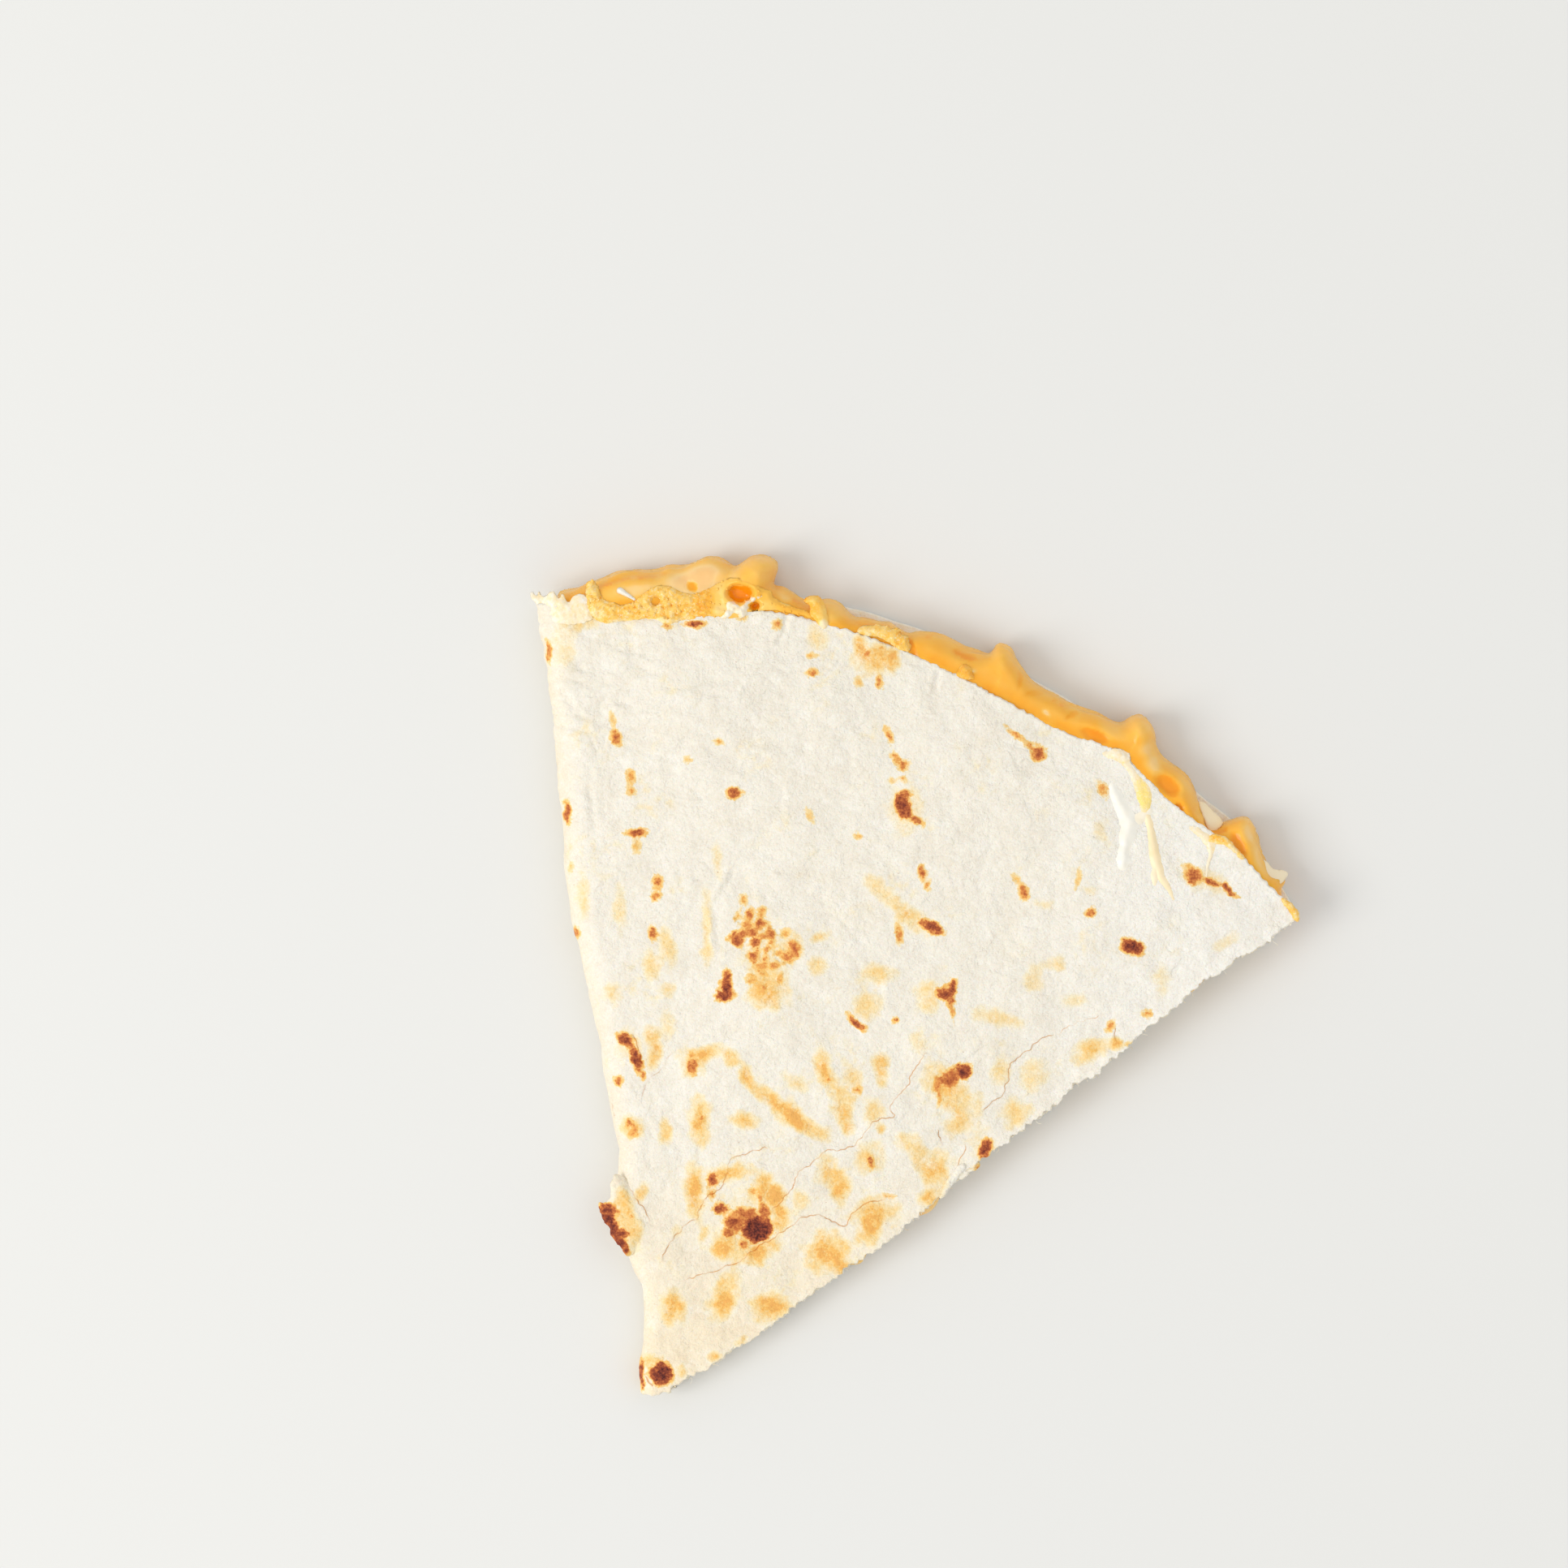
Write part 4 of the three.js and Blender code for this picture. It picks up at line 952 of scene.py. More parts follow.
def layTortilla(material):
    ring = sheetOutline()
    count = len(ring)
    inward = inwardOf(ring)
    plan = sheetMiddle(*ring.T)
    cutness = ease((122.5 - np.hypot(plan[:, 0], plan[:, 1])) / 2.0) * (np.abs(ring[:, 1]) > 3.4)
    edge = ring + inward * mix(*sheet["edgeInset"], cutness)[:, None]
    outerFlat, outerFaces, innerFlat, innerFaces = skins(ring, edge)
    print("tortilla faces", len(outerFaces), len(innerFaces))

    outer, normal, middle = sheetPoints(outerFlat, 1.0)
    x, y = middle[:, 0], middle[:, 1]
    out = outerFlat[:, 1]
    onTop, tint, inside, dark = skinMarks(outerFlat, outer, x, y)
    char = ease((inside + 0.2) / 0.7) * ease((dark - 0.5) / 0.3)
    signed, deep, side = crackField(x, y)
    signed[~onTop], deep[~onTop] = 9.0, 0.0
    deep = deep * ease((out - 0.8) / 1.6)
    relief = np.where(onTop, markRelief(topRelief(x, y), x, y, char, signed, deep, side), 0)
    relief = relief * ease((out + 4) / 6)
    relief += ease((-out - 4) / 5) * bottomRelief(x, y, char)
    outer = outer + normal * relief[:, None]

    # from the outer skin over the wall to the inner skin: points, tint, inside, dark and crumb
    layers = [(outer, tint, inside, dark, np.zeros(len(outer)))]
    run = np.arange(count) * sheet["edgeStep"]
    for depth, inset, rough, tintShare, darkShare, crumbShare in sheet["walls"]:
        fibre = wave(run, 2.2 * depth, 1.1, 81) + 0.7 * wave(run, 3.1 * depth, 0.55, 83)
        shift = inset + 0.24 * rough * fibre * cutness
        made, wallNormal, _ = sheetPoints(ring + inward * shift[:, None], depth)
        made = made + wallNormal * (relief[:count] * max(0, depth))[:, None]
        layers.append((made, tint[:count] * tintShare, inside[:count], dark[:count] * darkShare,
                       mix(0.35, 1.0, cutness) * crumbShare))
    innerPoints = sheetPoints(innerFlat, -1.0)[0]
    ones = np.ones(len(innerPoints))
    layers.append((innerPoints, 0 * ones, -2 * ones, 0 * ones, 0.4 * ones))
    points, *marks = (np.concatenate(parts) for parts in zip(*layers))

    faces = [outerFaces]
    starts = [0] + [len(outer) + k * count for k in range(len(sheet["walls"]) + 1)]
    here = np.arange(count)
    there = np.roll(here, -1)
    for a, b in zip(starts[:-1], starts[1:]):
        faces.append(np.stack([a + there, a + here, b + here], 1))
        faces.append(np.stack([a + there, b + here, b + there], 1))
    faces.append(innerFaces[:, ::-1] + starts[-1])

    creamAndShade, crackSide, crackDepth = (np.full(len(points), value) for value in (0.3, 9.0, 0.0))
    # creamier towards the tip and along the fold; the share of up to 0.45 left of x 55 is painted shade that
    # darkens the leaf's left part
    creamAndShade[:len(outer)] = np.max([1 - ease(y / toasting["creamTip"]), 0.8 * (1 - ease(np.abs(out) / 9)),
                                 0.45 * (1 - ease((x - 55) / 30))], 0)
    crackSide[:len(outer)], crackDepth[:len(outer)] = np.clip(signed, -2, 2), deep
    points[:, 2] = np.maximum(points[:, 2], 0)
    attributes = dict(zip(leafAttributes, (*marks, creamAndShade, crackSide, crackDepth)))
    makePiece("tortilla_leaf", (points, np.concatenate(faces), attributes), material,
              ["tortilla"], count)


def tortillaFinish():
    f = Finish("griddled_tortilla", {"Roughness": 0.62, "IOR": 1.4, "Specular IOR Level": 0.2,
                                     "Subsurface Weight": 0.12, "Subsurface Radius": (1.0, 0.72, 0.45),
                                     "Subsurface Scale": 0.0012})
    tint, inside, dark, crumb, creamAndShade, crackSide, crackDepth = (f.attribute(name) for name in leafAttributes)
    dust, fine = f.noise(0.28, 3, 0.6), f.noise(0.6, 4, 0.6)
    middling, broad = f.noise(1.5, 4, 0.58), f.noise(8, 3, 0.5)
    # golden patches with a grain, and a faint blush all over
    blush = f.times(f.spread(broad, 0.38, 0.72), f.spread(middling, 0.3, 0.75),
                    f.spread(creamAndShade, 0.0, 1.0, 0.10, 0.19))
    grain = f.plus(f.around(fine, 1.1), f.around(dust, 0.6), f.around(middling, 0.9))
    golden = f.times(tint, f.plus(1.0, grain))
    golden = f.math("MINIMUM", f.math("MAXIMUM", golden, blush), 0.45)
    # brown spots: crisp broken outlines, a soft halo and a mottled middle
    outline = f.plus(inside, f.plus(f.around(middling, 0.9), f.around(fine, 0.8)))
    core = f.spread(outline, -0.25, 0.35)
    halo = f.spread(f.plus(outline, f.around(fine, 0.5)), -0.5, 0.1)
    halo = f.times(halo, f.spread(dark, 0.3, 0.9, 0.22, 0.40))
    heart = f.spread(outline, -0.1, 1.2, 0.68, 0.96)
    mottle = f.plus(heart, f.plus(f.around(fine, 0.6), f.around(dust, 0.5)))
    level = f.math("MAXIMUM", golden, halo, f.times(core, dark, mottle))
    colour = f.ramp(level, (0.0, 243, 239, 227), (0.10, 248, 237, 208), (0.24, 250, 222, 163),
                    (0.4, 247, 195, 108), (0.54, 228, 150, 80), (0.68, 194, 108, 60), (0.82, 152, 74, 48),
                    (0.93, 114, 52, 42), (1.0, 78, 36, 34))
    # bare skin turns creamier and slightly darker with this attribute, which on the leaf's left side carries
    # painted shade
    bare = f.ramp(creamAndShade, (0.0, 247, 244, 235), (0.45, 244, 239, 226), (1.0, 248, 234, 206))
    colour = f.blend(f.spread(level, 0.0, 0.12), bare, colour)
    # painted shade in grey clouds that stand for the relief's shading, whiter clouds, and flour
    unburnt = f.spread(level, 0.5, 0.2)
    mottledShade = f.times(f.spread(f.noise(4.5, 4, 0.6), 0.42, 0.7), f.times(unburnt, 0.3))
    colour = f.blend(mottledShade, colour, linear(243, 238, 232), "MULTIPLY")
    pale = f.times(f.spread(f.noise(3.2, 5, 0.65), 0.5, 0.68), f.times(unburnt, 0.3))
    colour = f.blend(pale, colour, linear(255, 253, 246))
    floury = f.spread(f.plus(f.around(fine, 1.0), f.around(dust, 1.0)), -0.2, 0.25)
    colour = f.blend(f.times(floury, unburnt, 0.22), colour, linear(236, 222, 202), "MULTIPLY")
    # tiny brown specks of the flour
    specks = f.times(f.spread(f.cells(2.3), 0.055, 0.02), f.spread(f.noise(5.0, 2), 0.4, 0.6))
    colour = f.blend(f.times(specks, 0.6), colour, linear(186, 138, 92), "MULTIPLY")
    # the crumb at the cut, and the cracks: a thin brown line, partly the crack's own colour and partly
    # painted shade in its groove
    inner = f.blend(f.spread(middling, 0.35, 0.65), linear(254, 248, 232), linear(250, 236, 206))
    colour = f.blend(f.times(crumb, f.spread(level, 0.5, 0.1)), colour, inner)
    wobble = f.plus(f.math("ABSOLUTE", crackSide, 0), f.around(fine, 0.12))
    crackBrownAndShade = f.times(f.spread(wobble, 0.12, 0.035), f.spread(crackDepth, 0.0, 0.2))
    colour = f.blend(f.times(crackBrownAndShade, 0.7), colour, linear(226, 166, 96), "MULTIPLY")
    return f.finished(colour, f.bumps((f.noise(0.4, 4, 0.6), 0.14), (f.noise(1.2, 5, 0.62), 0.38),
                                      (f.noise(3.6, 3, 0.5, (0.7, 1.3, 1)), 0.5),
                                      (f.spread(f.cells(1.15), 0.0, 0.22), 0.04)))


looks = {"tortilla": tortillaFinish()}
layTortilla(looks["tortilla"])

# melted cheese: what it rests against

def leafPlace(x, y):
    # middle of the top leaf over points of the plan, and its thickness share there
    flat = unroll(x, y)
    middle = sheetMiddle(flat[..., 0], flat[..., 1])[..., 2]
    return middle, leafThin(np.hypot(x, y))


def foldHollow(x, y):
    _, inwards, roll = foldFrame(x, y)
    hollow = np.sqrt(np.maximum(0, (roll - half) ** 2 - np.maximum(0, roll - inwards) ** 2))
    return inwards, roll, hollow


def innerTop(x, y):
    # inner face of the top leaf and, near the fold, of the fold
    inwards, roll, hollow = foldHollow(x, y)
    middle, thin = leafPlace(x, y)
    return np.where(inwards > roll, middle + half - 2 * half * thin, half + roll + hollow)


def innerBottom(x, y):
    _, roll, hollow = foldHollow(x, y)
    return half + roll - hollow


def nearness(points, rings):
    # distance of points to the rings
    tree = treeOf(np.concatenate(rings))
    return np.array([tree.find((p[0], p[1], 0))[2] for p in points])


def towards(points, rings):
    # direction from points to the rings
    tree = treeOf(np.concatenate(rings))
    goal = np.array([np.mean([spot[0] for spot in tree.find_n((p[0], p[1], 0), 3)], 0)[:2] for p in points])
    return (goal - points) / np.maximum(1e-6, np.hypot(*(goal - points).T))[:, None]


def closedSolid(rings, inner, topOf, bottomOf, edgeOf, rounding, tints, soft=0, foot=1.0):
    # a solid between two height fields that meet along the rings in a round edge, or with soft 1 in a
    # slope; the lower side's edge is foot times as wide
    inner = inner[nearness(inner, rings) > 0.45 * np.hypot(*(rings[0][1] - rings[0][0]))]
    flat, tris = triangulate(rings, inner)
    ringCount = sum(len(r) for r in rings)
    away = nearness(flat, rings)
    outwards = towards(flat, rings)

    def side(reach, heightOf, slope):
        # rows of points near the edge move out, so that they lie evenly on the round
        turn = np.minimum(away / reach, 1) * math.pi / 2
        shift = np.where(away < reach, (1 - soft) * (away - reach * (1 - np.cos(turn))), 0)
        shift[:ringCount] = 0
        x, y = (flat + outwards * shift[:, None]).T
        edge = edgeOf(x, y)
        z = mix(edge, heightOf(x, y), mix(np.sin(turn), ease(away / reach), slope))
        z[:ringCount] = edge[:ringCount]
        return np.stack([x, y, z], 1)

    upper = side(rounding, topOf, soft)
    lower = side(foot * rounding, bottomOf, 0)[ringCount:]
    if foot == 1:
        lower[:, 2] = np.minimum(lower[:, 2], upper[ringCount:, 2] - 0.02)
    turned = np.where(tris < ringCount, tris, tris + len(lower))[:, ::-1]
    points = np.concatenate([upper, lower])
    attributes = {key: of(points[:, 0], points[:, 1]) for key, of in tints.items()}
    return points, np.concatenate([tris, turned]), attributes


# tortilla: torn ear on the fold

def skinTints(creamAndShade):
    # the leaf's attributes for a loose bit of it
    def browning(k):
        return lambda x, y: browned(x, y, toasting["spots"] + toasting["earSpots"], toasting["gold"])[k]

    def plain(value):
        return lambda x, y: np.full(x.shape, value)

    values = [browning(0), browning(1), browning(2), plain(0.0), plain(creamAndShade), plain(9.0), plain(0.0)]
    return dict(zip(leafAttributes, values))


ear = {
    "outline": [
        (-5.5, 34.1), (-6.2, 31.9), (-6.1, 30.5), (-7.1, 29.7), (-8, 29.4), (-7.8, 28.1), (-7.2, 26.6),
        (-6.5, 25.8), (-6.1, 24.6), (-5.4, 23.5), (-4.5, 22.5), (-3.6, 21.2), (-2.5, 21.6), (-1.2, 23.4),
        (-.2, 25.4), (-.2, 27), (-.8, 28.4), (-1.7, 30.1), (-2.7, 31.8), (-3.8, 33.5),
    ],
    "hinge": [
        (-4.6, 35), (-3.8, 33.5), (-2.7, 31.8), (-1.7, 30.1), (-.8, 28.4), (-.2, 27), (-.2, 25.4),
        (-1.2, 23.4), (-2.5, 21.6), (-3.4, 20.4),
    ],
    "step": 0.22,
    "thick": 0.85,
    "droop": 1.3,
}


def layEar(material):
    hinge = np.array(ear["hinge"])

    def fromHinge(x, y):
        return np.abs(distanceTo(hinge, x, y)[0])

    def topOf(x, y):
        away = fromHinge(x, y)
        _, inwards, roll = foldFrame(x, y)
        bend = roll + half
        skin = bend + np.sqrt(bend ** 2 - np.clip(bend - half - inwards, 0, 0.5 * bend) ** 2)
        flap = 2 * bend + 0.12 - ear["droop"] * ease((away - 1.2) / 6.5)
        return mix(skin - 0.06, flap, ease(away / 1.5)) + topRelief(x, y)

    def bottomOf(x, y):
        return topOf(x, y) - ear["thick"]

    def edgeOf(x, y):
        return topOf(x, y) - mix(0.2, 0.5 * ear["thick"], ease(fromHinge(x, y)))

    ring = softLine(ear["outline"], ear["step"], closed=True)
    torn = ease((fromHinge(*ring.T) - 0.5) / 1.5)[:, None]
    ring = mix(ring, frayed(ring, ear["step"], 0.2, 423), torn)
    inner = evenPoints(ring.min(0), ring.max(0), 0.3, 425)
    solid = closedSolid([ring], inner, topOf, bottomOf, edgeOf, 0.4, skinTints(0.8))
    makePiece("tortilla_ear", solid, material)


layEar(looks["tortilla"])

# melted cheese: filling and run-out

cheese = {
    # outer edge of what ran out, from the fold to the right corner
    "edge": [
        (-14.9, 124.6), (-14.3, 125.9), (-11.1, 126.9), (-8.2, 127.9), (-5.6, 129), (-2.8, 129.4),
        (.7, 129.4), (2.7, 130), (5, 130.1), (6.9, 130.7), (9.2, 131.4), (11.3, 131.2), (13.3, 130.3),
        (14.4, 130.8), (15.9, 131.6), (17.4, 131.8), (18.8, 131.4), (19.8, 130.5), (20, 129.5),
        (19.7, 128.2), (19.6, 126.9), (21.2, 126.5), (22.8, 125.7), (24.6, 124.7), (26.6, 124.7),
        (28.4, 124.6), (29.8, 124), (31, 122.9), (32.2, 122.1), (34, 121.9), (36.2, 121.5), (38, 121.4),
        (39.3, 120.4), (41, 119.6), (42.6, 119.8), (44.2, 119.7), (45.8, 119.2), (47.7, 118.3),
        (49.8, 117.3), (51.8, 116.7), (53.2, 116.4), (54, 116.9), (54.6, 117.7), (55.7, 117.6),
        (56.9, 116.8), (57.8, 115.4), (59, 113.8), (60.4, 112.1), (62.1, 110.8), (64.5, 109.6), (67, 108.2),
        (69, 107.4), (71.1, 106.8), (73.2, 105.8), (74.7, 105.4), (75.8, 106), (77.1, 106.4), (78.4, 105.9),
        (79.4, 104.8), (80, 103.4), (80.1, 101.9), (80.8, 100.2), (82.2, 99), (83.9, 97.8), (85.3, 96.2),
        (86.2, 94.4), (86.7, 92.8), (87.3, 91.4), (88, 90.4), (87.9, 89.4), (88.4, 88.6), (89.4, 88.9),
        (90.6, 89.6), (91.8, 90.2), (93.2, 90.6), (94.4, 90.3), (95.3, 89.2), (96, 87.4), (96.7, 85.2),
        (97.3, 83.2), (98.1, 81.6), (99.4, 81), (100.2, 80.2), (99.8, 78.8), (99.9, 77.6), (101.2, 76.2),
    ],
    # lobes: points of a crest line with half widths and heights
    "lobes": [
        [(-13, 124.9, 1.2, 7), (-10.5, 125.4, 1.4, 7.4), (-8.2, 126.2, 1.3, 7.2)],
        [(-6, 127.4, 1.4, 6.4), (-3, 127.8, 1.5, 6.6), (.5, 128.2, 1.4, 6.8), (3, 128.4, 1.4, 6.9)],
        [(-8, 123.8, 1.9, 8.2), (-4.6, 124.9, 2.1, 8.7), (-1.2, 125.6, 2.2, 8.9), (1.8, 125.8, 2.2, 8.8),
         (4.4, 125.4, 2.1, 8.5), (6.4, 124.4, 2, 8)],
        [(4.4, 126.8, 2.4, 7.2), (7.6, 128, 2.9, 8), (10.4, 128.2, 3, 8), (12.6, 127, 2.4, 7.4)],
        [(13.8, 125.2, 2, 9.3), (15.4, 127.2, 2.2, 9.8), (16.8, 128.6, 2.6, 10), (17.3, 129.2, 2.6, 9.7)],
        [(18.4, 124.6, 1.6, 8), (18.4, 126.6, 1.6, 8.2)],
        [(20.4, 125.1, 1.2, 6.6), (22.3, 124.5, 1.2, 6.6), (24.2, 123.4, 1.2, 6.6)],
        [(26.6, 121.8, 2.2, 7.6), (28.3, 122, 2.5, 8.6), (29.8, 121.3, 2.3, 8.6), (31.2, 119.9, 1.8, 7.8)],
        [(32.8, 120.6, 1.3, 5.9), (35.5, 120.2, 1.4, 6.1), (37.4, 119.8, 1.5, 6.2), (38.6, 118.6, 1.4, 6.2)],
        [(38.8, 116.6, 1.8, 6.8), (41.4, 116.6, 1.9, 7.4), (43.8, 115.4, 2, 7.7), (46.2, 114.3, 2, 7.7),
         (48.6, 112.9, 2, 7.6)],
        [(41.8, 118.1, 1.3, 7.1), (44.4, 117.9, 1.5, 7.5), (46.6, 116.9, 1.4, 7.4), (49.2, 115.4, 1.2, 7),
         (51.4, 114.6, 1.6, 7.4)],
        [(50.6, 112.4, 2.2, 7.8), (53.2, 112.8, 2.6, 8.3), (55.2, 113.6, 2.9, 8.8), (56.6, 112.2, 2.8, 8.7),
         (58.2, 110.4, 2.4, 8.2)],
        [(55.2, 116, 1.3, 7.4), (56, 115.2, 1.6, 7.9)],
        [(59.6, 109.6, 2, 7.6), (61.6, 108.6, 1.9, 7.6), (63.4, 107, 1.7, 7.5)],
        [(62.6, 109.4, 1, 6.6), (64.8, 108.4, .9, 6.4), (66.6, 107.4, .9, 6.4)],
        [(66.2, 105.2, 1.8, 7.8), (68.6, 105, 2.2, 8.4), (71, 104.4, 2.3, 8.5), (73.2, 102.8, 2.2, 8.2)],
        [(74.8, 102.2, 2.2, 8.2), (76.9, 104, 2.5, 9.2), (77.6, 102.6, 2.7, 9), (77.4, 100.8, 2.5, 8.5)],
        [(77.6, 100.4, 2.2, 8), (78.6, 98.6, 1.9, 7.9), (79.6, 97, 1.6, 7.8)],
        [(81, 97.6, 1.3, 7.6), (83, 96.6, 1.5, 8.2), (84.6, 94.8, 1.5, 8.2), (85.4, 92.8, 1.4, 7.8),
         (86.2, 91, 1.4, 7.4), (86.9, 89.6, 1.2, 7), (87.6, 88, .9, 6.8)],
        [(81, 93.8, .5, 8.3), (82.8, 93.7, .6, 8.7), (84.1, 93, .6, 8.8), (84.8, 91.9, .6, 8.7),
         (85, 90.9, .5, 8.4)],
        [(89.6, 87.2, .9, 6.6), (91.4, 87.8, 1.7, 7.8), (93.1, 88, 2.4, 8.5), (94, 86.6, 2.4, 8.5),
         (94.8, 84.6, 2.1, 8.1), (95.7, 82.5, 1.8, 7.6), (97.2, 80.6, 1.4, 6.8), (98.6, 79.4, 1.2, 6.2)],
        [(93, 83.6, 1.2, 6.8), (95.4, 80.8, 1.1, 6.6), (97.8, 78.6, 1, 6.4)],
    ],
    # hollows and windows of deeper colour, the colour in the hollows partly painted shade: x, y, width,
    # height, turn, how deep, tone
    "pools": [
        (-5.5, 127.9, 8, 1.5, 16, 1, .98), (-.5, 128.6, 7, 1.1, 4, .8, .95),
        (-12, 126.2, 4.4, 1.4, 16, .2, .82), (6.7, 126.7, 2, 1.6, -40, .3, .8),
        (14.3, 125.5, 4, 2.8, -4, 2.4, 1.1), (16.7, 123.5, 1.6, 1.2, 20, 1.6, 1.1),
        (35.8, 121, 5.6, 1.5, -6, .2, .96), (23.6, 124.6, 2.2, 1.4, -30, .2, .9),
        (41.3, 117.1, 1.2, 4.2, 24, .5, .95), (40.6, 119.3, 2.4, 1, -18, .2, .8),
        (49.7, 116.1, 4.6, 1.7, -16, .75, .98), (43.9, 118.9, 1, .7, 0, .35, .9),
        (58.6, 112.8, 1, 4.6, -14, .3, .78), (60.8, 109.9, 3.6, 1, 10, .3, .74),
        (65.6, 108.3, 2.2, 1.6, -20, .9, .96), (63.8, 108.8, .9, .7, 0, .5, .9),
        (66.4, 106.4, 2.4, .8, 30, .4, .8), (70, 103.2, 4.8, 2, -24, .7, .92),
        (81.7, 95.4, 4.6, 2.6, -42, 1.1, .9), (83.3, 91.9, 1.5, 1.3, -30, .9, .9),
        (90, 88.3, 2.6, 1.1, 12, .7, .98), (92.6, 86.2, 2, 4.2, 28, .9, .92),
        (52.6, 115.6, 3, .8, -8, .1, .7), (33, 121.2, 2.2, 1.2, -30, .4, .9),
    ],
    # paler places: x, y, width, height, turn, tone
    "pale": [
        (-2, 126, 11.5, 2.6, 8, .2), (3.6, 126.4, 6.4, 3, -10, .4), (8, 127.7, 13, 7.4, 4, .05),
        (12.2, 127.6, 4.6, 3.6, 0, .24), (17.3, 129.4, 4.8, 4.6, 20, .36), (21.2, 125.2, 2.6, 1.2, -18, .24),
        (28.6, 122.4, 3.8, 3.4, 0, .36), (79.3, 98.9, 3, 4, 24, .2), (78.4, 101.2, 3, 3.2, 0, .24),
        (77.6, 104.2, 3.6, 3.4, 0, .34), (73, 103.8, 5, 2.6, -24, .36), (84.8, 95.6, 2.4, 4.6, 34, .36),
        (87, 90.4, 1.8, 3.4, 24, .5), (94.6, 88, 3, 4.4, 24, .2), (96, 84, 2.4, 6.4, 16, .22),
        (50.6, 113.4, 1.8, .9, 0, .1), (62.4, 106.8, 2, 1, -30, .1), (55.4, 115.2, 2.4, 3.6, 20, .46),
    ],
    "fineStep": 0.3,
    "cutStep": 0.8,
    "coarseStep": 2.2,
    "apron": (0.35, 7.9),  # how far the run-out lies below the leaf beside it, and its height further out
    "edgeHeight": 2.7,
    "edgeRound": 3.0,
    "cutRecess": 0.5,
    # where the filling stands out of the cut: distance from the tip, half width, how far
    "cutBulges": [(38.8, 2.6, 1.25), (46.5, 3, .5), (52.8, 4.4, 1.35), (72, 2.6, .5), (108, 6, .8)],
}


def fromTopRim(x, y):
    # distance out from the top leaf's rim, negative under the leaf
    return distanceTo(softLine(sheet["rim"], 2.0), x, y)[0]


def cheeseHeight(x, y):
    # free surface of the run-out
    below, far = cheese["apron"]
    high = mix(leafPlace(x, y)[0] + half - below, far, ease(fromTopRim(x, y) / 5.5))
    high = high + 0.2 * cloud(x, y, 4.5, 101, 2)
    wx, wy = stirred(x, y, 0.25, 2.6, 103)
    for lobe in cheese["lobes"]:
        line = softLine(lobe, 0.7)
        near = boxedBy(x, y, line[:, :2], 4)
        if not near.any():
            continue
        away, share = distanceTo(line[:, :2], wx[near], wy[near])
        steps = np.linspace(0, 1, len(line))
        width = 1.25 * np.interp(share, steps, line[:, 2])
        ratio = np.minimum(np.abs(away) / width, 1.6)
        drop = np.where(ratio < 1, 1 - np.sqrt(np.maximum(0, 1 - ratio ** 2)), 1 + 3 * (ratio - 1))
        dome = np.interp(share, steps, line[:, 3]) - np.minimum(1.3, width) * drop
        high[near] = softMax(high[near], dome, 1.1)
    for pool in cheese["pools"]:
        high = high - 0.6 * pool[5] * (1 - ease((ovalShare(wx, wy, pool) - 0.45) / 0.9))
    return high


def cheeseTone(x, y):
    # 0 pale peach, 0.5 orange, 1 deep amber
    out = fromTopRim(x, y)
    # deeper next to the leaf's rim: partly the thicker cheese's own colour, partly painted shade where the
    # run-out meets the leaf; a little paler far out
    tone = 0.6 + 0.2 * (1 - ease((out - 0.2) / 2.2)) - 0.04 * ease((out - 3) / 3)
    tone = tone + 0.1 * cloud(x, y, 3.4, 107, 2)
    wx, wy = stirred(x, y, 0.3, 1.9, 108)
    tone = retoned(tone, wx, wy, cheese["pale"], 0.35, 0.95)
    # deeper tone in the pools: partly the cheese's own amber, partly painted shade in the hollows
    tone = retoned(tone, wx, wy, cheese["pools"], 0.75, 0.35)
    fromCut = np.abs(distanceTo(softLine(sheet["cut"], 3.0), x, y)[0])
    sliced = 0.16 + 0.3 * cloud(x, y, 3.6, 110, 2)
    return mix(tone, sliced, (1 - ease((fromCut - 0.8) / 2)) * ease((127 - np.hypot(x, y)) / 20))


def cheeseTop(x, y):
    # under the leaf it touches its inner face, and past the rim it comes out freely
    return mix(innerTop(x, y) + 0.03, cheeseHeight(x, y), ease((fromTopRim(x, y) + 1.3) / 1.3))


def cheeseBottom(x, y):
    # on the bottom leaf, and past its rim on the table
    r = np.hypot(x, y)
    reach = np.interp(sheet["heading"] - np.degrees(np.arctan2(y, x)), *np.array(sheet["bottomReach"]).T)
    onLeaf = innerBottom(x, y) - 0.03 - 2 * half * (1 - leafThin(r))
    return mix(onLeaf, 0.05, ease((r - reach - 0.3) / 1.2))


def fillingRings():
    step = cheese["fineStep"]
    outer = softLine(cheese["edge"], step)
    cut = softLine(sheet["cut"][::-1], 0.45)
    fromTip = np.hypot(*cut.T)
    recess = cheese["cutRecess"] + 0.3 * cloud(fromTip, 0 * fromTip, 5.0, 111)
    for place, reach, out in cheese["cutBulges"]:
        recess -= out * (1 - ease(np.abs(fromTip - place) / reach))
    cut = (cut + sideOf(cut) * recess[:, None])[(fromTip < 124.5) & (fromTip > 8)]
    along = np.arange(7.5, 122.5, 0.9)
    across = foldEdge(along) + half + 0.05
    fold = along[:, None] * foldDir + across[:, None] * acrossDir
    return [np.concatenate([outer, cut, fold])]


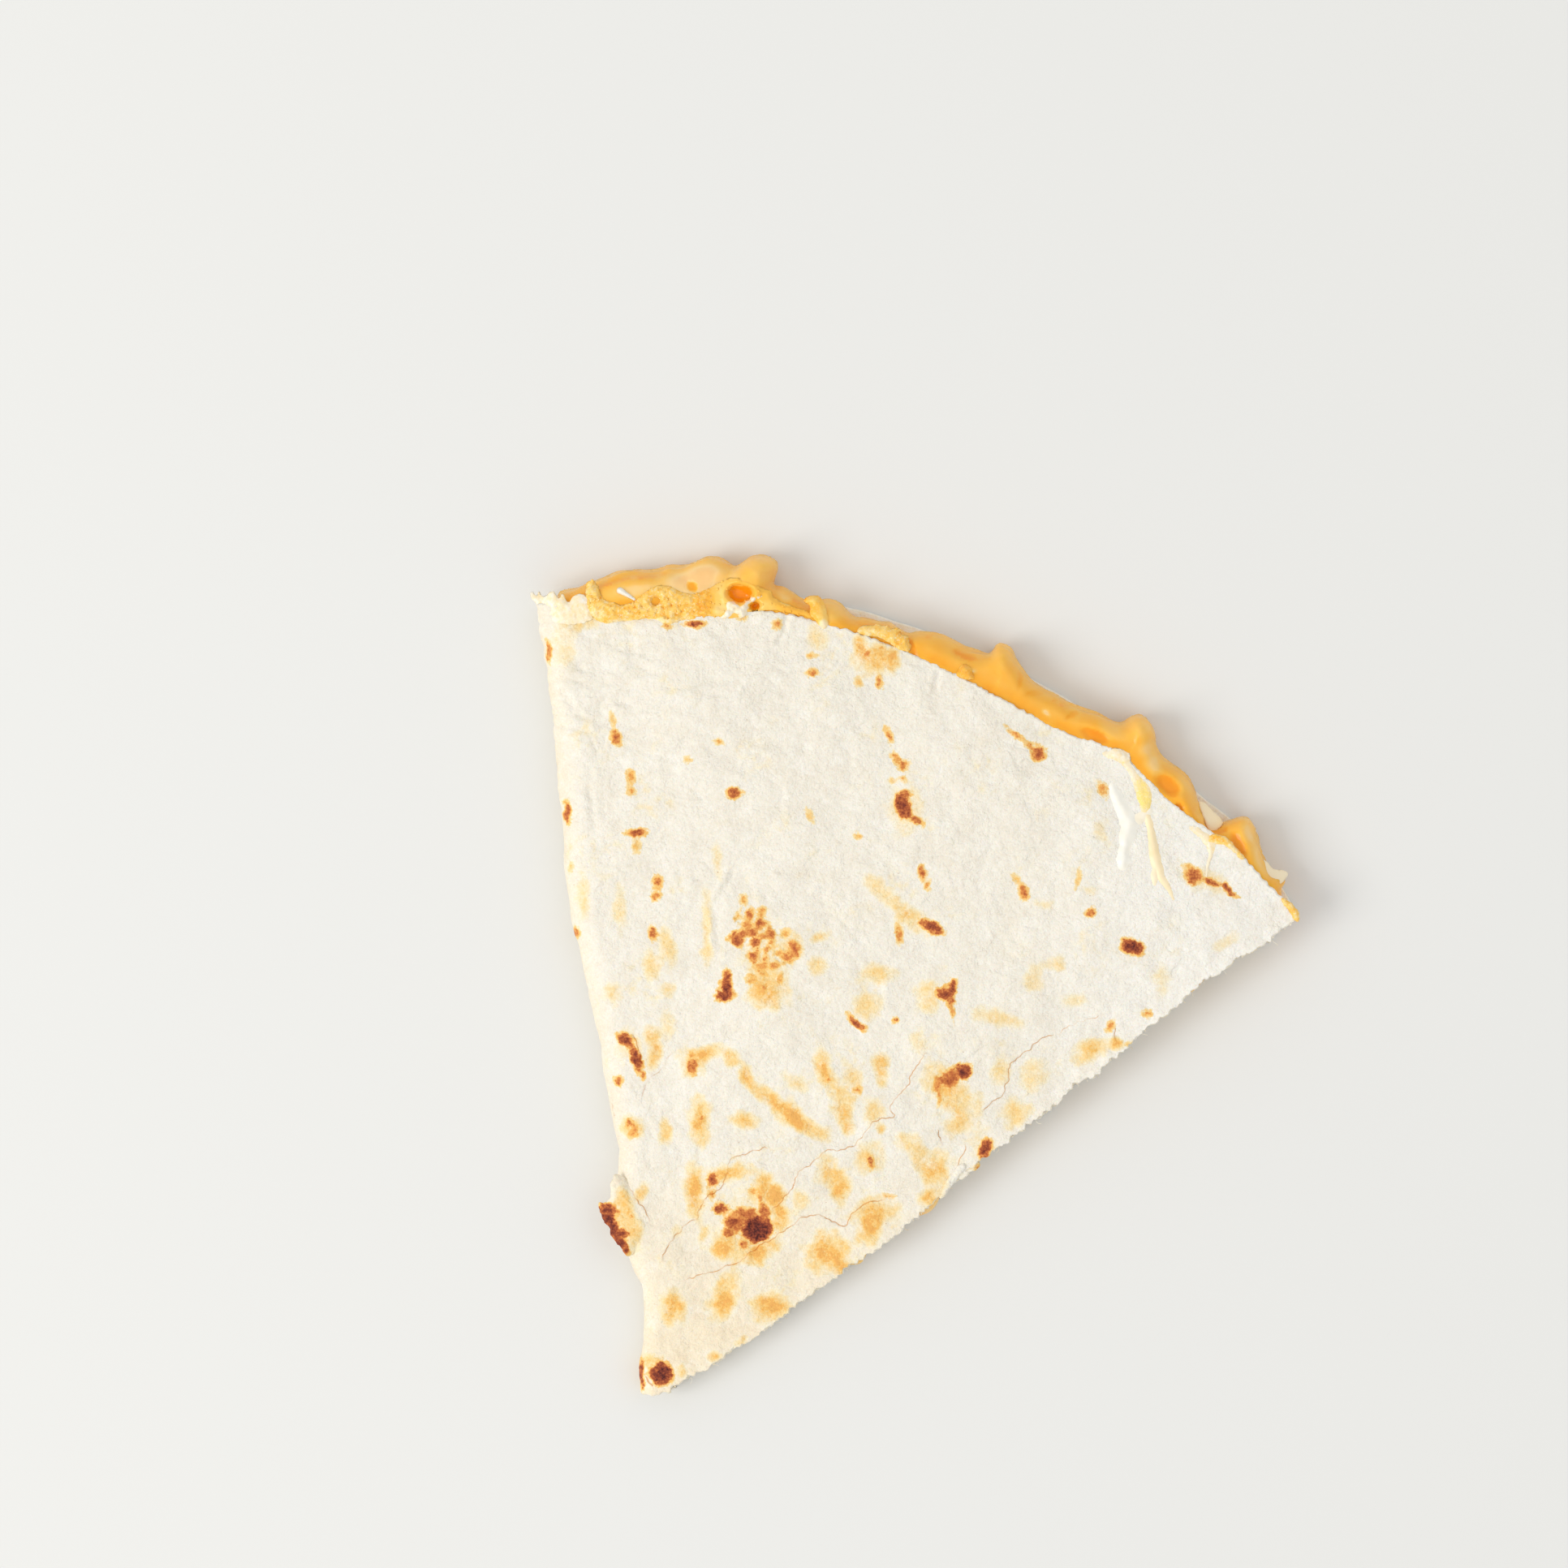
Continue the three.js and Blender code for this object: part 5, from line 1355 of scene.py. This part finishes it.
def pourCheese(material):
    rings = fillingRings()
    low, high = rings[0].min(0), rings[0].max(0)
    knife = [softLine(sheet["cut"], 1.0)]
    # points: fine past the rim, coarser along the cut, and coarse in the rest
    fine = evenPoints(low, high, cheese["fineStep"], 21)
    fine = fine[np.hypot(*fine.T) > 120.8]
    fine = fine[fromTopRim(*fine.T) > -2.2]
    middling = evenPoints(low, high, cheese["cutStep"], 23)
    middling = middling[(nearness(middling, knife) < 2.6) & (fromTopRim(*middling.T) < -2.6)]
    coarse = evenPoints(low, high, cheese["coarseStep"], 25)
    coarse = coarse[(nearness(coarse, knife) > 3.4) & (fromTopRim(*coarse.T) < -3.6)]

    def edgeOf(x, y):
        between = mix(innerBottom(x, y), innerTop(x, y), 0.5 + 0.25 * cloud(x, y, 4.0, 113, 2))
        outer = cheese["edgeHeight"] + 0.8 * swirl(x, y, 5.5, 114)
        return mix(between, outer, ease((fromTopRim(x, y) + 0.5) / 2))

    inner = np.concatenate([fine, middling, coarse])
    points, faces, attributes = closedSolid(rings, inner, cheeseTop, cheeseBottom, edgeOf,
                                            cheese["edgeRound"], {"tone": cheeseTone}, foot=0.5)
    # the lobes' walls slump and crease, each in its own way
    x, y, z = points.T
    beyond = ease(fromTopRim(x, y) / 1.5)
    crease = 0.4 * swirl(x + 1.7 * z, y - 1.3 * z, 3.2, 119) * ease(z / 1.5) / np.hypot(x, y)
    slump = np.stack([0.35 * swirl(x, y, 6.0, seed) + crease * v for v, seed in ((x, 117), (y, 118))], 1)
    points[:, :2] += (beyond * ease((8.0 - z) / 4.5))[:, None] * slump
    wall = ease(fromTopRim(x, y) / 1.5) * ease((7.6 - z) / 2.4)
    attributes["tone"] = mix(attributes["tone"], 0.5 + 0.2 * cloud(x + z, y - 1.4 * z, 4.0, 120, 2), wall)
    makePiece("cheese_flow", (points, faces, attributes), material, ["cheese_filling"])


def cheeseFinish():
    f = Finish("melted_cheddar", {"Roughness": 0.27, "IOR": 1.42, "Specular IOR Level": 0.36,
                                  "Subsurface Weight": 0.45, "Subsurface Radius": (1.0, 0.8, 0.5),
                                  "Subsurface Scale": 0.0014, "Coat Weight": 0.1, "Coat Roughness": 0.22})
    level = f.plus(f.attribute("tone"), f.around(f.noise(3.0, 3, 0.5), 0.24))
    colour = f.ramp(level, (0.0, 243, 194, 128), (0.12, 255, 212, 146), (0.3, 255, 198, 100),
                    (0.5, 255, 191, 80), (0.75, 254, 177, 50), (1.0, 247, 150, 14))
    return f.finished(colour, f.bumps((f.noise(1.6, 3, 0.5), 0.05)))


pourCheese(cheeseFinish())


# cheese that lies on the leaf: crust, shreds, strands and films

def skinTop(x, y):
    # upper face of the top leaf
    return leafPlace(x, y)[0] + half + topRelief(x, y)


def restingOn(x, y):
    # what carries a piece: the leaf and, past its rim, the run-out cheese
    return mix(skinTop(x, y), np.minimum(cheeseHeight(x, y), 9.6), ease(fromTopRim(x, y) + 0.2))


def skirtBase(x, y):
    return leafPlace(x, y)[0] + half - 0.22 * np.maximum(0, y - 124.0) - 0.1


def filmBase(near, far):
    def base(x, y):
        return mix(near, far, ease((fromTopRim(x, y) - 0.5) / 3.5)) + 0.12 * swirl(x, y, 2.2, 141)
    return base


def ribbonRing(points, step, seed):
    # outline of a strand: a centre line with its widths, round at both ends
    line = softLine(points, step)
    run = np.arange(len(line)) * step
    side = sideOf(line[:, :2])
    width = np.maximum(0.2, line[:, 2]) / 2
    left = line[:, :2] - side * (width * (1 + 0.16 * wave(run, 0, 1.3, seed)))[:, None]
    right = line[:, :2] + side * (width * (1 + 0.16 * wave(run, 9, 1.3, seed)))[:, None]
    ring = [*right]
    for end, k in ((-1, 1), (0, -1)):
        turn = np.linspace(-90, 90, max(3, int(math.pi * width[end] / step)) + 2)[1:-1]
        forward = k * np.array([-side[end, 1], side[end, 0]])
        for t in np.radians(turn):
            ring.append(line[end, :2] + width[end] * (forward * math.cos(t) - k * side[end] * math.sin(t)))
        if end == -1:
            ring.extend(left[::-1])
    return np.array(ring)


# what a laid piece has unless it says otherwise: lengths in mm, gold from 0 pale to 1 deep, and the
# stretch of x over which it turns from fried to smooth; bubbles whose own value is over blisterFrom
# swell, and those under pitTo are pits
laying = {
    "slot": "cheese_strand", "look": "pale", "replaced": (), "holes": (), "tints": (), "base": restingOn,
    "step": 0.22, "fray": 0.16, "rough": 0.5, "lump": 1.0, "bubble": 0.6, "blister": 0.1, "sunk": 0.25,
    "blisterFrom": 0.35, "blisterReach": 0.62, "pitTo": 0.05, "pitReach": 0.34,
    "round": 0.8, "soft": 1, "goldSpread": 0.3, "smooth": (400, 500),
}


def laidPiece(name, own):
    # a flat piece draped over what lies under it, with bumps and pits
    piece = {**laying, **own}
    step, seed, base = piece["step"], piece["seed"], piece["base"]
    if "ring" not in piece:
        piece["ring"] = frayed(softLine(piece["outline"], step, closed=True), step, piece["fray"], seed)
    rings = [piece["ring"], *(softLine(hole, step, closed=True) for hole in piece["holes"])]
    inner = evenPoints(rings[0].min(0), rings[0].max(0), step, seed)

    def friedness(x, y):
        start, end = piece["smooth"]
        return 1 - ease((x - start) / (end - start))

    def texture(x, y):
        fried = friedness(x, y)
        lump = cloud(x, y, piece["lump"], seed + 1) * mix(0.3, 1, fried)
        near, kind = bubbleField(x, y, piece["bubble"], seed + 4)
        dome = np.sqrt(np.clip(1 - (near / piece["blisterReach"]) ** 2, 0, 1))
        blister = dome * (kind > piece["blisterFrom"]) * (0.4 + kind)
        pit = (1 - ease(near / piece["pitReach"])) * (kind < piece["pitTo"])
        return lump, blister * fried, pit * fried

    def topOf(x, y):
        lump, blister, pit = texture(x, y)
        rise = piece["height"] * (1 + piece["rough"] * lump) + piece["blister"] * (blister - 1.4 * pit)
        return base(x, y) + np.maximum(0.06, rise)

    def bottomOf(x, y):
        return base(x, y) - piece["sunk"]

    def edgeOf(x, y):
        return base(x, y) - 0.04

    def goldOf(x, y):
        lump, blister, pit = texture(x, y)
        gold = piece["gold"] + piece["goldSpread"] * cloud(x, y, 2.6, seed + 9) - 0.25 * lump
        gold = gold + 0.5 * pit - 0.1 * blister
        return retoned(gold, *stirred(x, y, 0.3, 1.7, 131), piece["tints"], 0.4, 0.8)

    marks = piece.get("marks", {"gold": goldOf, "fried": friedness})
    solid = closedSolid(rings, inner, topOf, bottomOf, edgeOf, piece["round"], marks, piece["soft"])
    makePiece(name, solid, looks[piece["look"]], piece["replaced"])
    return solid


def fryFinish(name, roughness, *stops):
    f = Finish(name, {"Roughness": roughness, "IOR": 1.42, "Specular IOR Level": 0.45})
    gold, fried = f.attribute("gold"), f.attribute("fried")
    fine, middling = f.noise(0.45, 4, 0.65), f.noise(1.5, 3, 0.5)
    grain = f.plus(f.around(fine, 0.9), f.around(middling, 0.6))
    colour = f.ramp(f.plus(gold, f.times(grain, fried)), *stops)
    # painted glints: small whitish highlights on the glossy fried grains
    paintedGlints = f.times(f.spread(f.noise(0.3, 3, 0.6), 0.55, 0.66), fried, 0.4)
    colour = f.blend(paintedGlints, colour, linear(255, 247, 226))
    return f.finished(colour, f.bumps((f.times(f.noise(0.5, 4, 0.62), fried), 0.09),
                                      (f.times(f.cells(0.55), fried), 0.07)))


bits = {
    "cheese_crust_rim": {
        "slot": "cheese_crust", "look": "fried", "replaced": ["cheese_crust"],
        "grains": "cheese_crust_grains", "step": 0.24, "seed": 201, "fray": 0.14, "height": 0.5, "rough": 0.7,
        "lump": 0.95, "blister": 0.16, "gold": 0.65, "goldSpread": 0.28, "smooth": (7.5, 11.5),
        "outline": [
            (-10, 125.4), (-9.9, 127.1), (-9, 127.7), (-8.2, 127), (-7.7, 125.9), (-7.3, 124.9),
            (-5.8, 124.2), (-3.9, 123.8), (-2.3, 124.4), (-1.4, 125.2), (-.1, 126.2), (1.8, 126.9),
            (3.5, 126.7), (5, 125.9), (6.9, 125.6), (9.2, 126.4), (10.9, 127.3), (12.6, 128), (14.4, 127.9),
            (16.2, 127.4), (17.8, 126.4), (19.2, 125.9), (19.7, 124.9), (21.2, 124.1), (23.7, 123.2),
            (25.2, 122.5), (25.5, 121.7), (23.7, 122.1), (21.2, 122.6), (19.1, 122.9), (15.7, 122.6),
            (15, 121.8), (12.9, 121.6), (10.4, 121.8), (7.7, 121.8), (7.1, 121.4), (5, 121.2), (2.9, 120.6),
            (.7, 121.4), (-1.8, 121.3), (-4.3, 121.1), (-6.9, 120.8), (-8.6, 121.5), (-9.8, 123.2),
        ],
        "holes": [
            [(12.4, 125.6), (13, 126.4), (14, 126.8), (15.3, 126.6), (16.1, 126), (15.9, 125.2),
             (15.1, 124.5), (14, 124.3), (13, 124.9)],
            [(15.8, 123.2), (16.1, 123.8), (16.7, 124.1), (17.2, 123.7), (17.2, 123.1), (16.5, 122.9)],
            [(.5, 124.6), (1.1, 124.9), (1.6, 124.6), (1.5, 124), (1, 123.7), (.5, 124)],
        ],
        "tints": [
            (-9, 126.4, 2, 2.4, 0, .45), (8.6, 124, 3.4, 4.4, 30, .84), (-4.8, 122.6, 2.4, 2.2, 0, .68),
            (-.6, 121.2, 15, 1.3, 0, .2), (11.2, 123, 3.2, 2.4, 0, .42), (15.6, 126.2, 8, 4.4, -10, .74),
            (22.4, 123, 8, 3, -24, .8), (21.4, 124, 1.8, .8, -20, .5), (-8.2, 122.4, 2.6, 2, 0, .3),
        ],
    },
    "cheese_lace": {
        "slot": "cheese_crust", "seed": 221, "fray": 0.2, "height": 0.8, "rough": 0.6, "bubble": 0.8,
        "blister": 0.2, "sunk": 0.2, "soft": 0.6, "gold": 0.4, "goldSpread": 0.2,
        "outline": [
            (11.8, 124.9), (12.6, 124.6), (13.2, 124.4), (14, 124), (15.1, 124.2), (16, 125), (17, 125.4),
            (17.9, 125.6), (18.2, 124.9), (17.4, 124.5), (16.7, 124.3), (15.9, 123.9), (15.6, 123),
            (15.1, 121.9), (14.2, 121.6), (13.6, 122.1), (12.5, 121.7), (10.9, 121.7), (11.7, 122.6),
            (11.9, 123.8),
        ],
    },
    "cheese_shred_pale": {
        "look": "fried", "replaced": ["cheese_shred_rim"], "grains": "cheese_shred_grains", "seed": 231,
        "height": 0.42, "rough": 0.6, "lump": 0.9, "gold": 0.62, "goldSpread": 0.26,
        "outline": [
            (32.7, 119.5), (33, 120.2), (33.9, 120.6), (34.9, 120.5), (35.8, 120.7), (36.7, 120.5),
            (37.5, 120.5), (38.3, 120.1), (39.1, 120), (39.8, 119.3), (40.5, 118.9), (40.9, 118.1),
            (41.2, 117.3), (40.9, 116.5), (40.1, 116.4), (39.4, 116.6), (38.5, 117.2), (37.6, 117.9),
            (36.6, 118.4), (35.4, 118.8), (34, 118.9),
        ],
        "tints": [
            (39.4, 117.7, 2.4, 1.4, -30, .7), (34.4, 119.6, 3, 1.2, 0, .4), (37, 119.6, 3.2, 1.2, -10, .55),
        ],
    },
    "cheese_shred_yellow": {
        "look": "fried", "seed": 241, "fray": 0.1, "height": 0.8, "rough": 0.25, "lump": 1.5, "bubble": 0.8,
        "sunk": 0.3, "round": 1.0, "soft": 0.6, "gold": 0.72, "smooth": (18, 34),
        "outline": [
            (24.3, 124.4), (24.6, 124.9), (25.6, 125.3), (26.7, 125.1), (27.5, 124.3), (27.8, 123.2),
            (28.2, 121.6), (28.1, 120.5), (27.4, 119.9), (26.7, 120.5), (26.1, 121.3), (25.2, 122.3),
            (25.3, 123.4),
        ],
        "tints": [(27.4, 120.6, 2.2, 1.8, 0, .14), (26, 124.6, 2, 1, 0, .5)],
    },
    "cheese_nub": {
        "look": "fried", "seed": 251, "fray": 0.1, "height": 0.9, "rough": 0.3, "lump": 1.4, "bubble": 0.9,
        "sunk": 0.3, "gold": 0.8, "smooth": (30, 70),
        "outline": [
            (48.3, 113), (48.8, 114), (49.7, 114.5), (50.5, 114.1), (50.9, 113.2), (51.1, 112.1),
            (49.8, 112), (48.6, 112.4),
        ],
    },
    "cheese_crisp_rim": {
        "slot": "cheese_crust", "look": "fried", "seed": 261, "height": 0.35, "blister": 0.16, "round": 0.45,
        "soft": 0, "gold": 0.5,
        "outline": [
            (88, 87.4), (89.4, 87.7), (91.2, 86.9), (92.5, 85.5), (93.6, 84), (92.9, 83.8), (91.9, 84.9),
            (90.6, 85.8), (89.2, 86.2), (88, 86.5),
        ],
        "tints": [(89.4, 86.9, 3, 1.2, -16, .8), (92, 85.2, 2.4, 1.2, -45, .3)],
    },
    "cheese_crisp_corner": {
        "slot": "cheese_crust", "look": "fried", "seed": 271, "height": 0.4, "blister": 0.16, "round": 0.45,
        "soft": 0, "gold": 0.6,
        "outline": [
            (99.4, 77.7), (100.4, 77.3), (101.6, 76.4), (102.3, 75), (102, 73.9), (101.3, 74.4),
            (100.6, 75.6), (99.8, 76.6),
        ],
    },
    "cheese_film_leaf": {
        "step": 0.26, "seed": 281, "fray": 0.1, "height": 0.2, "rough": 0.4, "lump": 1.6, "bubble": 0.9,
        "blister": 0.04, "sunk": 0.2, "round": 1.0, "gold": 0.5, "goldSpread": 0.2,
        "outline": [
            (71, 100.5), (72.2, 101), (73.4, 101.3), (74.9, 100.9), (75.6, 100.2), (75.9, 98.9),
            (76.9, 97.4), (78.2, 96), (79.1, 94.7), (79.2, 93), (78.9, 91.4), (78.3, 90.3), (77.5, 90.6),
            (76.9, 92), (76.3, 94), (75.7, 96), (74.8, 97.8), (73.4, 99), (71.8, 99.6),
        ],
        "tints": [(77.9, 93.6, 2.8, 6.2, 16, 1), (75.6, 97.4, 2, 3, 24, .35)],
    },
    "cheese_film_small": {
        "step": 0.26, "seed": 291, "fray": 0.1, "height": 0.16, "rough": 0.4, "lump": 1.4, "bubble": 0.8,
        "blister": 0.04, "sunk": 0.2, "gold": 0.5, "goldSpread": 0.1,
        "outline": [
            (84.5, 88.9), (86, 89.1), (88.1, 87.8), (89.6, 87), (89.4, 86), (88.7, 84.4), (88.1, 83.4),
            (87.7, 85), (86.6, 86.8), (85.2, 88),
        ],
        "tints": [(88.6, 87, 1.6, 1.2, 0, .7)],
    },
    "cheese_skirt": {
        "slot": "cheese_crust", "step": 0.24, "seed": 301, "height": 0.26, "bubble": 0.8, "blister": 0.03,
        "sunk": 0.3, "soft": 0.8, "gold": 0.42, "goldSpread": 0.24, "base": skirtBase,
        "outline": [
            (-18.8, 125.2), (-18.4, 125.9), (-17.9, 125.4), (-17.4, 126), (-16.9, 125.2), (-15.8, 125.6),
            (-14.9, 125.9), (-14.3, 124.8), (-13.7, 125.5), (-13.2, 124.7), (-12.5, 124.3), (-12, 125.1),
            (-11.2, 125.4), (-10, 125.3), (-9.4, 123.8), (-8.9, 121.6), (-11, 120.8), (-13.4, 120.6),
            (-15.6, 121.2), (-17.2, 123.2),
        ],
        "tints": [(-11.6, 122, 5, 2, 0, .5), (-10, 124.4, 2, 1.2, 0, .1)],
    },
}
# bits for each square metre, their sizes in metres and how far they lean
grains = {
    "cheese_crust_grains": {"Density": 0.6e6, "Seed": 5, "Smallest": 8e-5, "Largest": 30e-5, "Lean": 0.4},
    "cheese_shred_grains": {"Density": 0.6e6, "Seed": 6, "Smallest": 8e-5, "Largest": 26e-5, "Lean": 0.4},
    "cut_crumbs": {"Density": 0.3e6, "Seed": 7, "Smallest": 6e-5, "Largest": 22e-5, "Lean": 3.0},
    "cut_fibres": {"Density": 0.14e6, "Seed": 8, "Smallest": 40e-5, "Largest": 130e-5, "Lean": 1.1},
}
# thin strands: centre lines with widths
strands = {
    "cheese_strand_white": {
        "height": 0.5, "gold": 0.03, "replaced": ["cheese_strand_pale"],
        "line": [
            (72.8, 95.2, 1.5), (73.3, 93.9, 2.3), (74, 92.3, 2.5), (74.8, 90.9, 2.9), (75.4, 89.4, 3.5),
            (75.2, 87.9, 3), (74.8, 86.4, 2.4), (74.6, 84.9, 2.3), (74.5, 83.6, 2.5), (74.4, 82.8, 1.9),
        ],
    },
    "cheese_strand_bridge": {
        "height": 0.26, "gold": 0.2,
        "line": [(75.2, 89.6, 1.6), (76.6, 90, 2), (77.9, 90.7, 1.7), (78.7, 91.4, 1.2)],
    },
    "cheese_strand_yellow": {
        "height": 0.3, "gold": 0.48, "replaced": ["cheese_strand_gold"],
        "line": [
            (77.9, 91.6, 1.1), (78.5, 89.8, 1.4), (78.9, 88, 1.5), (79.2, 86.1, 1.8), (79.5, 84.2, 2),
            (79.9, 82.4, 1.9), (80.7, 80.6, 1.4), (81.7, 79, 1), (82.4, 77.4, .6),
        ],
    },
    "cheese_strand_tail": {
        "height": 0.2, "gold": 0.38,
        "line": [(79.7, 82.6, 1.4), (79.4, 81.2, 1.4), (79.4, 79.9, .8)],
    },
    "cheese_strand_thin": {
        "height": 0.22, "gold": 0.34,
        "line": [(88, 86.4, 1.1), (88.3, 84.6, .8), (87.8, 82.8, .6), (87.6, 81, .45), (87.4, 78.9, .4)],
    },
    "cheese_grain_white": {
        "height": 0.7, "gold": 0,
        "line": [(-4.6, 126, 1.1), (-3.7, 125.5, .8), (-2.3, 124.6, .45)],
    },
}
# thin skins of melted cheese beside the lobes, with the heights of their ends
sideFilms = {
    "cheese_film_middle": {
        "near": 6.2, "far": 4.4, "gold": 0.46,
        "outline": [
            (86.6, 92.6), (87.5, 92.7), (89, 91.3), (90.4, 89.8), (90, 88.8), (88.4, 87.6), (87.6, 89.4),
        ],
    },
    "cheese_film_corner": {
        "near": 6, "far": 4.2, "gold": 0.4,
        "outline": [
            (96.6, 83.6), (97.5, 83.3), (98.4, 82.2), (100, 82), (100.8, 81.4), (100.1, 80.3), (98.8, 79.6),
            (97.2, 80.8),
        ],
    },
}
# what strands and side films have in common
even = {"rough": 0.2, "bubble": 1.0, "blister": 0.0, "goldSpread": 0.1, "smooth": (-400, -300)}


def layBits():
    looks["fried"] = fryFinish("fried_cheese", 0.28, (0.0, 253, 240, 212), (0.25, 253, 226, 165),
                               (0.5, 252, 208, 110), (0.75, 251, 190, 72), (1.0, 242, 155, 20))
    looks["pale"] = fryFinish("pale_cheese", 0.36, (0.0, 246, 243, 232), (0.3, 249, 236, 208),
                              (0.6, 250, 226, 176), (1.0, 253, 226, 132))
    for name, own in bits.items():
        piece = {**laying, **own}
        points, faces, marks = laidPiece(name, piece)
        if "grains" in piece:
            top = points, faces[:len(faces) // 2], marks
            grown = piece["grains"]
            scatter(grown, top, lumps, grains[grown], looks[piece["look"]])
    for k, (name, own) in enumerate(strands.items()):
        width = max(p[2] for p in own["line"])
        strand = {"ring": ribbonRing(own["line"], 0.24, 311 + k), "step": 0.24, "seed": 311 + 7 * k,
                  "lump": 1.6, "sunk": 0.2, "round": 0.95 * width / 2, "soft": 0.8}
        laidPiece(name, {**even, **own, **strand})
    for k, (name, own) in enumerate(sideFilms.items()):
        film = {"ring": frayed(softLine(own["outline"], 0.28, closed=True), 0.28, 0.08, 377 + k),
                "slot": "melted_cheese", "step": 0.28, "seed": 371 + 7 * k, "height": 0.22, "lump": 1.8,
                "round": 0.5, "soft": 0, "base": filmBase(own["near"], own["far"])}
        laidPiece(name, {**even, **own, **film})


layBits()

# crumbs and fibres along the cut, and bits of leaf that hang off it

flake = {
    "slot": "tortilla", "look": "tortilla", "seed": 401, "height": 0.35, "blister": 0.08, "sunk": 0.4,
    "round": 0.3, "soft": 0, "root": (48.6, 34.6), "droop": 0.3,
    "outline": [
        (47.8, 34.2), (48.9, 33.4), (49.6, 33.5), (50.2, 33.9), (50.6, 34.6), (51.4, 34.7), (52.1, 35.5),
        (51.9, 36.1), (51, 36.7), (49.6, 36.2), (48.4, 35.4),
    ],
}
strip = {
    "slot": "tortilla", "look": "tortilla", "seed": 411, "fray": 0.14, "height": 0.45, "blister": 0.05,
    "sunk": 0.4, "round": 0.4, "soft": 0, "base": skinTop,
    "outline": [
        (45.6, 30.2), (46.2, 32.2), (47.3, 34), (48.7, 35.6), (49.7, 36), (49.7, 35), (48.8, 33.8),
        (47.6, 32.2), (46.6, 30.8),
    ],
}


def cutWalls():
    # the cut faces of both leaves
    line = softLine(sheet["cut"], 0.5)[4:]
    middle, _ = leafPlace(*line.T)
    points, faces = [], []
    for low, high, away in ((middle - 0.9, middle + 0.9, 0.0), (0 * middle + 0.3, 0 * middle + 1.8, 0.1)):
        here = sum(len(part) for part in points) + np.arange(len(line) - 1)
        plan = line + sideOf(line) * away
        points += [np.stack([*plan.T, z], 1) for z in (low, high)]
        faces.append(np.stack([here, here + 1, here + 1 + len(line), here + len(line)], 1))
    return np.concatenate(points), np.concatenate(faces), {}


def crumbFinish():
    f = Finish("torn_crumb", {"Roughness": 0.7, "Specular IOR Level": 0.25})
    colour = f.ramp(f.noise(0.8, 3, 0.6), (0.35, 244, 230, 202), (0.5, 250, 242, 222), (0.65, 254, 249, 236))
    return f.finished(colour, f.bumps((f.noise(0.3, 3, 0.6), 0.06)))


def strewCrumbs():
    look = crumbFinish()
    for name, shape in (("cut_crumbs", lumps), ("cut_fibres", fibres)):
        scatter(name, cutWalls(), shape, grains[name], look)
    root = np.array(flake["root"])
    rootLevel = skinTop(*root[:, None])[0] - 0.15
    print("flake level", round(rootLevel, 2))

    def level(x, y):
        away = np.hypot(x - root[0], y - root[1])
        return rootLevel - flake["droop"] * away / 3 + 0.2 * swirl(x, y, 2.0, 405)

    laidPiece("loose_flake", {**flake, "base": level, "marks": skinTints(0.7)})
    laidPiece("torn_strip", {**strip, "marks": skinTints(0.3)})


strewCrumbs()

# floor and light

studio = {
    "floor": (228, 228, 225),
    "reach": 1.4,
    "world": 0.757,
    "key": {"place": (-1.25, -0.35, 1.2), "size": 0.9, "power": 15.0, "colour": (1.0, 0.985, 0.96)},
    "fill": {"place": (0.6, 0.7, 1.2), "size": 1.0, "power": 1.0, "colour": (0.97, 0.985, 1.0)},
}


def layFloor():
    size = studio["reach"]
    mesh = bpy.data.meshes.new("floor")
    corners = [(-size, -size, 0), (size, -size, 0), (size, size, 0), (-size, size, 0)]
    mesh.from_pydata(corners, [], [(0, 1, 2, 3)])
    look = {"Base Color": linear(*studio["floor"]), "Roughness": 0.75, "Specular IOR Level": 0.2}
    mesh.materials.append(Finish("pale_table", look).material)
    floor = putDown("floor", mesh)


def hangLamp(name):
    lamp = studio[name]
    light = bpy.data.lights.new(name, "AREA")
    light.shape = "SQUARE"
    light.size = lamp["size"]
    light.energy = lamp["power"]
    light.color = lamp["colour"]
    holder = putDown(name, light)
    holder.location = lamp["place"]
    holder.rotation_euler = (-Vector(lamp["place"])).to_track_quat("-Z", "Y").to_euler()


def fillWorld():
    world = bpy.data.worlds.new("studio")
    world.use_nodes = True
    world.node_tree.nodes["Background"].inputs["Color"].default_value = (1, 1, 1, 1)
    world.node_tree.nodes["Background"].inputs["Strength"].default_value = studio["world"]
    bpy.context.scene.world = world


layFloor()
hangLamp("key")
hangLamp("fill")
fillWorld()
bpy.context.scene.view_settings.view_transform = "Standard"
